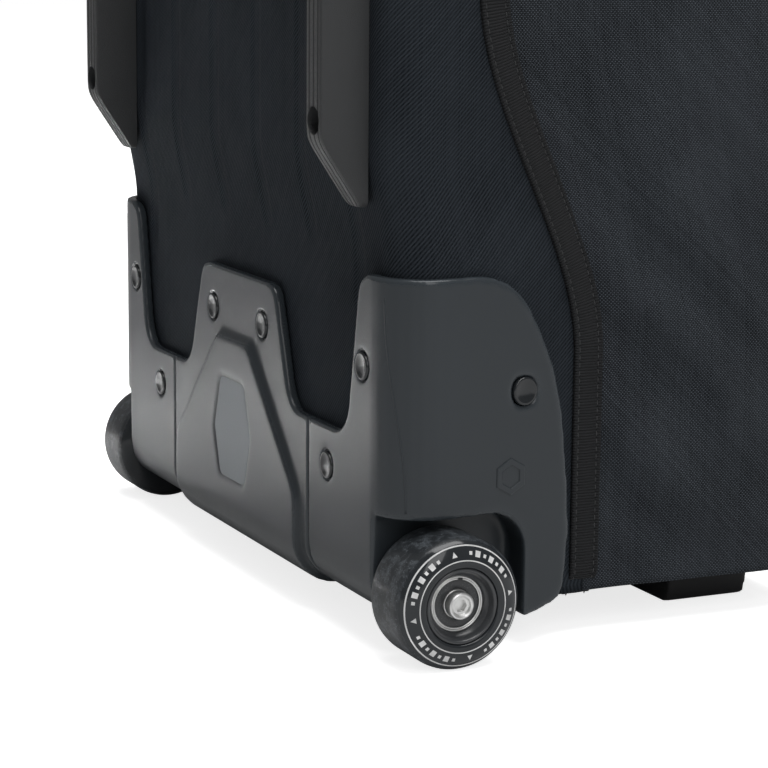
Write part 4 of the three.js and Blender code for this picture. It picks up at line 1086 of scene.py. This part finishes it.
def urethane_material():
    """Smoky urethane: glossy on its faces, scuffed and dusty with bright grit on its tread."""
    material, tree, maths, node, mix, shader = blank_material("urethane")
    place = node("ShaderNodeTexCoord").outputs["Object"]
    tread = node("ShaderNodeAttribute")
    tread.attribute_name = "tread"
    mottle = node("ShaderNodeTexNoise", Vector=place, Scale=230.0, Detail=6.0, Roughness=0.75)
    grit = node("ShaderNodeTexVoronoi", Vector=place, Scale=1500.0)
    grit_mask = maths("MULTIPLY", maths("LESS_THAN", grit.outputs["Distance"], 0.2),
                      maths("GREATER_THAN", mottle.outputs[0], 0.5))
    scuff = node("ShaderNodeMapRange", Value=mottle.outputs[0], From_Min=0.47, From_Max=0.64)
    smoky = mix(node("ShaderNodeTexNoise", Vector=place, Scale=70.0, Detail=3.0).outputs[0],
                (0.010, 0.012, 0.014, 1), (0.030, 0.034, 0.038, 1))
    scuffed = mix(maths("MULTIPLY", scuff.outputs[0], maths("MULTIPLY", tread.outputs["Fac"], 0.85)),
                  smoky, (0.085, 0.096, 0.107, 1))
    gritty = mix(maths("MULTIPLY", grit_mask, maths("MULTIPLY", tread.outputs["Fac"], 0.6)),
                 scuffed, (0.30, 0.33, 0.36, 1))
    rough = maths("MULTIPLY_ADD", mottle.outputs[0], 0.08, 0.07)
    rough = maths("MULTIPLY_ADD", tread.outputs["Fac"], 0.32, rough)
    uneven = maths("MULTIPLY", mottle.outputs[0], maths("MULTIPLY_ADD", tread.outputs["Fac"], 0.9, 0.1))
    surface(tree, shader, gritty, rough, uneven, 0.12)
    paint(material, Coat_Weight=0.12, Coat_Roughness=0.05, Specular_IOR_Level=0.35)
    return material


def metal(name, colour, rough):
    """Plated steel with a turned finish."""
    material, tree, maths, node, mix, shader = blank_material(name)
    place = node("ShaderNodeTexCoord").outputs["Object"]
    turned = node("ShaderNodeTexNoise", Vector=place, Scale=600.0, Detail=3.0).outputs[0]
    marks = use_group(tree, dust, Scale=90.0, Spread=1.0)
    plating = mix(marks.outputs["Cloud"], tint(colour), tint(colour, 0.72))
    surface(tree, shader, plating, maths("MULTIPLY_ADD", turned, 0.16, rough), turned, 0.02)
    paint(material, Metallic=1.0)
    return material


def clip_ring():
    """The bearing's spring clip: a wire ring with a gap."""
    points = []
    turns, sides = 90, 8
    for i in range(turns + 1):
        turn = math.radians(104) + math.radians(348) * i / turns
        for j in range(sides):
            round_wire = 2 * math.pi * j / sides
            radius = CLIP_R + 0.42 * math.cos(round_wire)
            height = CLIP_HEIGHT + 0.34 * math.sin(round_wire)
            points.append((radius * math.cos(turn), radius * math.sin(turn), height))
    mesh = bpy.data.meshes.new("clip")
    mesh.from_pydata(points, [], skin(turns + 1, sides))
    faced_out(mesh)
    mesh.shade_smooth()
    return mesh


def joined(name, meshes):
    """One mesh from several, each with its own finish."""
    together = bmesh.new()
    materials = []
    for mesh, material in meshes:
        if material not in materials:
            materials.append(material)
        start = len(together.faces)
        together.from_mesh(mesh)
        together.faces.ensure_lookup_table()
        for face in together.faces[start:]:
            face.material_index = materials.index(material)
    mesh = bpy.data.meshes.new(name)
    together.to_mesh(mesh)
    together.free()
    for material in materials:
        mesh.materials.append(material)
    return mesh


urethane = urethane_material()
core_plastic = moulded("core_plastic", (0.030, 0.032, 0.035), 0.2, 0.6, 0.008, coat=0.3)
seal_rubber = moulded("seal_rubber", (0.035, 0.037, 0.039), 0.16, 0.8, 0.004)
zinc = metal("zinc_plate", (0.88, 0.88, 0.87), 0.3)
print_white = thread_material("print_white", (0.50, 0.50, 0.50))
for name in ("left", "right"):
    body = f"wheel_{name}"
    tyre = along_axle(f"wheel_tyre_{name}", lathe("tyre", mirrored(TYRE_FACE), 128, closed=True), name)
    low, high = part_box(f"tyre_{name}")
    axle_place = (low + high) / 2
    reach = [math.hypot(v.co.y - axle_place.y, v.co.z - axle_place.z) / MM for v in tyre.data.vertices]
    tread = tyre.data.attributes.new("tread", "FLOAT", "POINT")
    tread.data.foreach_set("value", [ease(r, TREAD_FROM_R, TREAD_TO_R) for r in reach])
    fitted(tyre, urethane, body, "urethane", f"tyre_{name}")
    core = along_axle(f"wheel_core_{name}", lathe("core", mirrored(CORE_FACE), 96, closed=True), name)
    fitted(core, core_plastic, body, "wheel_core", f"hub_{name}")
    marks = along_axle(f"wheel_print_{name}", printed(polygons), name)
    fitted(marks, print_white, body, "urethane")
    for end, toward in (("outer", 1), ("inner", -1)):
        parts = [(lathe("race", RACE, 64, closed=True), zinc),
                 (lathe("race", INNER_RACE, 48, closed=True), zinc),
                 (lathe("shield", SHIELD, 64, closed=True), seal_rubber), (clip_ring(), zinc)]
        bearing = along_axle(f"bearing_{end}_{name}_parts", joined("bearing", parts), name, toward)
        fitted(bearing, None, body, "steel", f"bearing_{end}_{name}")
    sleeve = along_axle(f"bearing_spacer_{name}", lathe("spacer", SPACER, 40, closed=True), name)
    fitted(sleeve, zinc, body, "steel", f"spacer_{name}")
    blank = in_scene("bolt_blank", lathe("bolt", BOLT, 40))
    socket = in_scene("socket", lathe("socket", SOCKET, 6))
    socket.data.shade_flat()
    cut_from(blank, socket)
    bolt_mesh = blank.data
    bpy.data.objects.remove(blank)
    bolt_mesh.set_sharp_from_angle(angle=math.radians(35))
    bolt = along_axle(f"axle_bolt_{name}_turned", bolt_mesh, name)
    bolt.data.materials.clear()
    fitted(bolt, zinc, "bag", "steel", f"axle_bolt_{name}")


# ---------------------------------------------------------------- skid rails
# Two extruded rails with a sanded texture, three fine grooves along the ground face, and ramped ends.
# Countersunk screws sunk deep in them go through into the foam board.
RAIL_HALF = 7.5
RAIL_BASE_Y = 1.3
RAIL_FACE_Y = 20.8
RAIL_RAMP = 25.5
RAIL_TIP = 2.5
RAIL_CORNER = 1.3
TIP_CORNER = 3.0
GROOVES = (-4.3, -0.3, 3.7)
GROOVE = ((-0.6, 0), (-0.25, 0.55), (0.25, 0.55), (0.6, 0))
SCREW_INSET = 32.8
HOLE_R = 5.4
SCREW_TOP_Y = 12.5
SCREW = ((0, -1.6), (2.2, -1.6), (2.6, -0.3), (3.4, 0), (4.9, 0), (5.1, -0.4), (2.2, -4.5),
         (2.2, -17), (0, -17))
HOLE = ((0, 4.6), (2.6, 4.6), (HOLE_R, 9.6), (HOLE_R, 30), (0, 30))
RAIL_STATIONS = (0, 0.3, 0.8, 1.6, 3, 6, 12, 18, 22, 23.5, 25, 26.5, 28, 31, 40)
rail_sand = moulded("rail_sand", (0.022, 0.0235, 0.025), 0.42, 0.45, 0.25, wear=0.5)


def rail_face(z, bottom, top):
    rise = min(z - bottom, top - z)
    ramp = RAIL_BASE_Y + RAIL_TIP + rise * (RAIL_FACE_Y - RAIL_BASE_Y - RAIL_TIP) / RAIL_RAMP
    soft = 1.1
    return -soft * math.log(math.exp(-min(ramp, RAIL_FACE_Y + 8) / soft) + math.exp(-RAIL_FACE_Y / soft))


def rail_loop(middle, z, bottom, top):
    rise = min(z - bottom, top - z)
    half = RAIL_HALF
    if rise < TIP_CORNER:
        half -= TIP_CORNER - math.sqrt(TIP_CORNER ** 2 - (TIP_CORNER - rise) ** 2)
    face = rail_face(z, bottom, top)
    points = [(-half, RAIL_BASE_Y), (-half, face - RAIL_CORNER), (-half + 0.4, face - 0.4),
              (-half + RAIL_CORNER, face)]
    shrink = half / RAIL_HALF
    for groove in GROOVES:
        points += [(groove * shrink + dx, face - dy) for dx, dy in GROOVE]
    points += [(half - RAIL_CORNER, face), (half - 0.4, face - 0.4), (half, face - RAIL_CORNER),
               (half, RAIL_BASE_Y)]
    return [(middle + x, y, z) for x, y in points]


def along_y(mesh, x, y, z):
    """Turns a lathed mesh, in millimetres, so that its axis runs back along +Y from a place."""
    mesh.transform(Matrix(((MM, 0, 0, x * MM), (0, 0, MM, PLATE_FACE + y * MM), (0, MM, 0, z * MM),
                           (0, 0, 0, 1))))
    mesh.flip_normals()
    return mesh


black_oxide = metal("black_oxide", (0.02, 0.02, 0.021), 0.4)
for name in ("left", "right"):
    low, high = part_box(f"skid_rail_{name}")
    middle = (low.x + high.x) / 2 / MM
    bottom, top = low.z / MM, high.z / MM
    zs = ([bottom + d for d in RAIL_STATIONS] + heights((bottom + 60, top - 60, 60))
          + [top - d for d in reversed(RAIL_STATIONS)])
    loops = [rail_loop(middle, z, bottom, top) for z in zs]
    points = [point for loop in loops for point in loop]
    rail = mesh_of(f"skid_rail_{name}_extrusion", points, skin(len(loops), len(loops[0])))
    faced_out(rail.data)
    for level, end in (("lower", bottom + SCREW_INSET), ("upper", top - SCREW_INSET)):
        cut_from(rail, in_scene("hole", along_y(lathe("hole", HOLE, 32), middle, 0, end)))
        screw_mesh = along_y(lathe("screw", SCREW, 24), middle, SCREW_TOP_Y, end)
        screw = in_scene(f"rail_screw_{level}_{name}_sunk", screw_mesh)
        fitted(screw, black_oxide, "bag", "screw", f"rail_screw_{level}_{name}")
    rail.data.set_sharp_from_angle(angle=math.radians(32))
    rail.data.materials.clear()
    fitted(rail, rail_sand, "bag", "rail", f"skid_rail_{name}")


# ---------------------------------------------------------------- end panels and feet
# The two ends are single pads of the same twill. Two moulded rubber feet are sewn under the front edge of
# the bottom one, so that the bag stands up on them and its wheels.
TURN_FLAT = (0, 0, 0)
SEAM_ROOM = 5
EDGE_OUT = 5.2  # in front of the seam the pads reach out to the gussets, which have no board behind them


def nudged(piece, rule):
    """Moves each point of a piece by rule(place, normal), both taken before any point moves."""
    mesh = piece.data
    places, normals = points_of(mesh)
    moves = [rule(Vector(place), Vector(normal)) for place, normal in zip(places, normals)]
    mesh.vertices.foreach_set("co", (places + np.array(moves)).ravel())
    mesh.update()


end_twill = woven("end_twill", 0.44, 4, TWILL_DARK, TWILL_LIGHT, 0.22, plane=TURN_FLAT)
for name, node, sag in (("bottom_pad", "bottom_end_panel", -1), ("top_pad", "top_end_panel", 1)):
    pad = rounded_off(cad_copy(name, node), 0.0026, 3)
    meets_gusset = SEAM_ROOM - seam_y(TOP_Z if sag > 0 else FLOOR_Z)

    def padding(place, normal):
        forward = ease(-depth_of(place.y), meets_gusset, meets_gusset + SEAM_ROOM)
        side_face = ease(abs(normal.x), 0.3, 0.7)
        swell = noise.noise(place * 11) * 1.3 * MM if sag * normal.z > 0.6 else 0
        return (math.copysign(EDGE_OUT * MM * forward * side_face, place.x), 0, swell)

    nudged(pad, padding)
    fitted(pad, end_twill, "bag", "tub_fabric", node)
foot_rubber = moulded("foot_rubber", (0.013, 0.013, 0.014), 0.5, 0.5, 0.06, wear=0.2)
for name in ("left", "right"):
    foot = rounded_off(cad_copy(f"foot_block_{name}", f"foot_{name}"), 0.0014, 4)
    rim_attribute(foot)
    fitted(foot, foot_rubber, "bag", "moulding", f"foot_{name}")


# ---------------------------------------------------------------- lid and its pocket
# The lid is a soft padded panel of oxford cloth with piping round its edge, sewn to the right gusset and
# zipped to the rest. A flat padded pocket is sewn on its outside.
TURN_FRONT = (math.radians(-90), 0, 0)
START_INSET = 1.0
PIPING_SIDES = 8
OUTLINE_STEP = 30
CLOTH_STEPS = 20
lid_oxford = woven("lid_oxford", 0.74, 2, OXFORD_DARK, OXFORD_LIGHT, 0.55, sheen=0.02, plane=TURN_FRONT)


def plumped(piece, voxel, cap_out, cap_in):
    """Swells a pad with a short cloth run. Its front may move cap_out and its back cap_in, in mm."""
    rounded_off(piece, voxel, 2)
    nudged(piece, lambda place, normal: -normal * START_INSET * MM)
    before, normals = points_of(piece.data)
    cloth = piece.modifiers.new("cloth", "CLOTH")
    cloth.settings.use_pressure = True
    cloth.settings.uniform_pressure_force = 4
    cloth.settings.quality = 4
    cloth.settings.mass = 0.3
    cloth.settings.effector_weights.gravity = 0
    cloth.point_cache.frame_start = 1
    cloth.point_cache.frame_end = CLOTH_STEPS
    for step in range(1, CLOTH_STEPS + 1):
        bpy.context.scene.frame_set(step)
    settled(piece)
    bpy.context.scene.frame_set(1)
    after, normals = points_of(piece.data)
    move = after - before
    length = np.linalg.norm(move, axis=1, keepdims=True)
    move *= np.minimum(1, cap_out * MM / np.maximum(length, 1e-9))
    move[:, 1] = np.minimum(move[:, 1], cap_in * MM)
    piece.data.vertices.foreach_set("co", (before + move).ravel())
    finer = piece.modifiers.new("finer", "SUBSURF")
    finer.levels = finer.render_levels = 1
    settled(piece)

    def rumple(place, normal):
        if abs(normal.y) < 0.5:
            return (0, 0, 0)
        wave = noise.noise(place * 6) * 0.9 + noise.noise(place * 17) * 0.5
        return (0, wave * MM * (1 if normal.y < 0 else 0.3), 0)

    nudged(piece, rumple)
    return piece


for name, node, voxel, cap_out, cap_in, fill in (
        ("lid_pad", "lid", 0.0072, 3.0, 0.3, 0.6), ("pocket_pad", "lid_pocket", 0.0042, 5.0, 0.2, 0.5)):
    pad = plumped(cad_copy(name, node), voxel, cap_out, cap_in)
    fitted(pad, lid_oxford, "lid", "gusset_fabric", node)


def tube_round(name, path, radius):
    """A closed tube along a closed path in X and Z, at one depth."""
    points = []
    count = len(path)
    for i, (x, y, z) in enumerate(path):
        before, after = path[i - 1], path[(i + 1) % count]
        ahead = Vector((after[0] - before[0], 0, after[2] - before[2])).normalized()
        out = Vector((ahead.z, 0, -ahead.x))
        for j in range(PIPING_SIDES):
            turn = 2 * math.pi * j / PIPING_SIDES
            points.append((x + out.x * radius * math.cos(turn), y + radius * math.sin(turn),
                           z + out.z * radius * math.cos(turn)))
    piece = mesh_of(name, points, skin(count, PIPING_SIDES, closed=True))
    faced_out(piece.data)
    return piece


def spaced_out(outline, step):
    """The outline of (x, z) points with no side longer than step."""
    points = []
    for i, (x, z) in enumerate(outline):
        next_x, next_z = outline[(i + 1) % len(outline)]
        count = max(1, round(math.hypot(next_x - x, next_z - z) / step))
        points += [(x + (next_x - x) * k / count, z + (next_z - z) * k / count) for k in range(count)]
    return points


def panel_outline(x0, x1, z0, z1, corner):
    corners = ((x0, z0), (x1, z0), (x1, z1), (x0, z1))
    return spaced_out(rounded_outline(corners, corner, steps=8), OUTLINE_STEP)


piping_cloth = woven("piping_cloth", 0.3, 2, (0.006, 0.0065, 0.007), (0.02, 0.021, 0.023), 0.05,
                     plane=TURN_FRONT)
STITCH_INSET = 7
for name, node, inset, corner, depth, radius, forward, stitch_out in (
        ("lid_piping", "lid", 1.6, 14, 0.55, 1.8, 2.2, 0.6),
        ("pocket_piping", "lid_pocket", 1.5, 27, 0.3, 1.5, 1.5, 1.6)):
    low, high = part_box(node)
    x0, x1, z0, z1 = low.x / MM + inset, high.x / MM - inset, low.z / MM + inset, high.z / MM - inset
    y = (low.y + (high.y - low.y) * depth - PLATE_FACE) / MM
    edge = panel_outline(x0, x1, z0, z1, corner)
    piping = tube_round(name, [(x, y - forward, z) for x, z in edge], radius)
    fitted(piping, piping_cloth, "lid", "webbing")
    inner = panel_outline(x0 + STITCH_INSET, x1 - STITCH_INSET, z0 + STITCH_INSET, z1 - STITCH_INSET,
                          corner - 6)
    face = depth_of(low.y) - stitch_out
    line = [(x, face, z) for x, z in inner + inner[:1]]
    ups = [(0, -1, 0)] * len(line)
    row = beads_along(f"{name}_stitches", [(line, ups)], 3.4, 2.4, 0.7, 0.7, black_thread)
    fitted(row, None, "lid", "webbing")

# The hinge is a grosgrain strip from the right gusset's front edge to the lid's edge.
low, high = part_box("lid")
hinge_x = high.x / MM + 0.7
hinge_y = depth_of(high.y)
rows = [[(hinge_x - 0.5 * abs(k - 4) / 4, hinge_y + 8 - 2 * k, z) for k in range(9)]
        for z in heights((low.z / MM + 4, high.z / MM - 4, 14))]
hinge = cloth_grid("lid_hinge_tape", rows, flip=True)
thicken(hinge, 0.9, offset=0)
settled(hinge)
hinge.data.materials.append(grosgrain)
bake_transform(hinge)


# ---------------------------------------------------------------- main zip
# A coil zip on woven tape runs up the left edge and round both ends. Its sliders and moulded pull tabs
# are die-cast and painted black.
low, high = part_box("main_zip_chain")
chain = rounded_off(cad_copy("zip_tape", "main_zip_chain"), 0.0016, 2)
fitted(chain, piping_cloth, "bag", "webbing", "main_zip_chain")
zip_y = depth_of((low.y + high.y) / 2)
edge_x, end_x = low.x / MM, high.x / MM
bottom, top = low.z / MM, high.z / MM
coil_black = moulded("coil_black", (0.012, 0.012, 0.013), 0.3, 0.5, 0.01)
COIL_HALVES = (-0.75, 0.75)
lines = []
for offset in COIL_HALVES:
    y = zip_y + offset
    up_side = [(edge_x - 0.1, y, bottom + 6), (edge_x - 0.1, y, top - 6)]
    along_top = [(edge_x + 6, y, top + 0.1), (end_x, y, top + 0.1)]
    along_bottom = [(edge_x + 6, y, bottom - 0.1), (end_x, y, bottom - 0.1)]
    for line, out in ((up_side, (-1, 0, 0)), (along_top, (0, 0, 1)), (along_bottom, (0, 0, -1))):
        lines.append((line, [out, out]))
fitted(beads_along("zip_teeth", lines, 2.1, 1.5, 1.9, 1.3, coil_black), None, "bag", "moulding")
pocket_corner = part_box("lid_pocket")[1]
zip_z = pocket_corner.z / MM + 3.6
face = depth_of(pocket_corner.y) - 1.0
half = pocket_corner.x / MM - 26
lines = []
for dz in COIL_HALVES:
    lines.append(([(x, face - 0.6, zip_z + dz) for x in (-half, half)], [(0, -1, 0)] * 2))
fitted(beads_along("pocket_zip_teeth", lines, 1.9, 1.4, 1.7, 1.3, coil_black), None, "lid", "moulding")
rows = [[(-half - 3 + (2 * half + 6) * k / 30, face, zip_z + dz) for k in range(31)]
        for dz in (-5.5, -2, 2, 5.5)]
pocket_tape = cloth_grid("pocket_zip_tape", rows)
thicken(pocket_tape, 0.6, offset=0)
settled(pocket_tape)
fitted(pocket_tape, piping_cloth, "lid", "webbing")
slider_black = moulded("slider_black", (0.02, 0.02, 0.021), 0.28, 0.6, 0.01)
pull_black = moulded("pull_black", (0.016, 0.016, 0.017), 0.42, 0.5, 0.05)


def dressed(finish, *nodes):
    """Gives CAD nodes that keep their own shape their finish."""
    for node in nodes:
        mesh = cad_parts[node].data
        mesh.materials.clear()
        mesh.materials.append(finish)


dressed(slider_black, "zip_slider_side", "zip_slider_top", "pocket_slider")
dressed(pull_black, "zip_pull_side", "zip_pull_top")


# ---------------------------------------------------------------- handles
# Two handles of flat webbing, one on the top and one on the left side. Each loop is sewn through a patch
# on its panel and runs through a padded sleeve.
WEBBING_DARK = (0.005, 0.0055, 0.006)
WEBBING_LIGHT = (0.022, 0.023, 0.025)
for name, plane in (("top", TURN_FLAT), ("side", (0, math.radians(90), 0))):
    strap = woven(f"{name}_webbing_weave", 1.1, 2, WEBBING_DARK, WEBBING_LIGHT, 0.3, plane=plane)
    sleeve_cloth = woven(f"{name}_sleeve_cloth", 0.45, 2, (0.010, 0.012, 0.014), (0.036, 0.041, 0.046), 0.12,
                         plane=plane)
    body = f"{name}_handle"
    webbing = rounded_off(cad_copy(f"{body}_loop", f"{body}_webbing"), 0.0011, 2)
    grip = rounded_off(cad_copy(f"{body}_sleeve", f"{body}_grip"), 0.0013, 6)
    fitted(webbing, strap, body, "webbing", f"{body}_webbing")
    fitted(grip, sleeve_cloth, body, "webbing", f"{body}_grip")


# ---------------------------------------------------------------- inside
# A quilted liner of pale grey cloth covers the back, and two webbing straps with side-release buckles
# hold the board down on it.
QUILT_STEP = 62
TACK_OUTER_X = 114
TACK_INNER_X = 96
liner = rounded_off(cad_copy("quilted_liner", "back_liner"), 0.0042, 2)


def quilted(place, normal):
    if normal.y > -0.5:
        return (0, 0, 0)
    u = (place.x + place.z) / (QUILT_STEP * MM)
    v = (place.x - place.z) / (QUILT_STEP * MM)
    puff = min(abs(math.sin(math.pi * u)), abs(math.sin(math.pi * v))) ** 0.5
    return (0, (1.5 - 2.1 * puff) * MM, 0)


nudged(liner, quilted)
liner_cloth = woven("liner_cloth", 0.4, 2, (0.035, 0.039, 0.043), (0.09, 0.098, 0.105), 0.06,
                    plane=TURN_FRONT)
fitted(liner, liner_cloth, "bag", "lining", "back_liner")
strap_weave = woven("strap_weave", 1.0, 2, WEBBING_DARK, WEBBING_LIGHT, 0.25, plane=TURN_FRONT)
buckle_black = moulded("buckle_black", (0.013, 0.013, 0.014), 0.34, 0.5, 0.03)
for name in ("lower", "upper"):
    low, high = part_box(f"tie_down_strap_{name}")
    middle_y = depth_of((low.y + high.y) / 2)
    columns = heights((low.x / MM, high.x / MM, 6))
    rows = []
    for k in range(7):
        z = low.z / MM + (high.z - low.z) / MM * k / 6
        rows.append([(x, middle_y - 0.25 * math.sin(x / 17) - 0.12 * abs(k - 3), z) for x in columns])
    strap = cloth_grid(f"tie_down_webbing_{name}", rows)
    thicken(strap, 1.3, offset=0)
    settled(strap)
    fitted(strap, strap_weave, "bag", "webbing", f"tie_down_strap_{name}")
    lines = []
    z0, z1 = low.z / MM + 3, high.z / MM - 3
    for sign in (-1, 1):
        x0, x1 = sign * TACK_OUTER_X, sign * TACK_INNER_X
        corners = ((x0, z0), (x1, z0), (x1, z1), (x0, z1), (x0, z0), (x1, z1))
        lines.append(([(x, middle_y - 1.0, z) for x, z in corners], [(0, -1, 0)] * len(corners)))
    tack = beads_along(f"tie_down_stitches_{name}", lines, 2.8, 2.0, 0.6, 0.6, black_thread)
    fitted(tack, None, "bag", "webbing")
    dressed(buckle_black, f"tie_down_clip_{name}", f"tie_down_tongue_{name}")
dressed(zinc, "axle_nut_left", "axle_nut_right")


low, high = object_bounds()
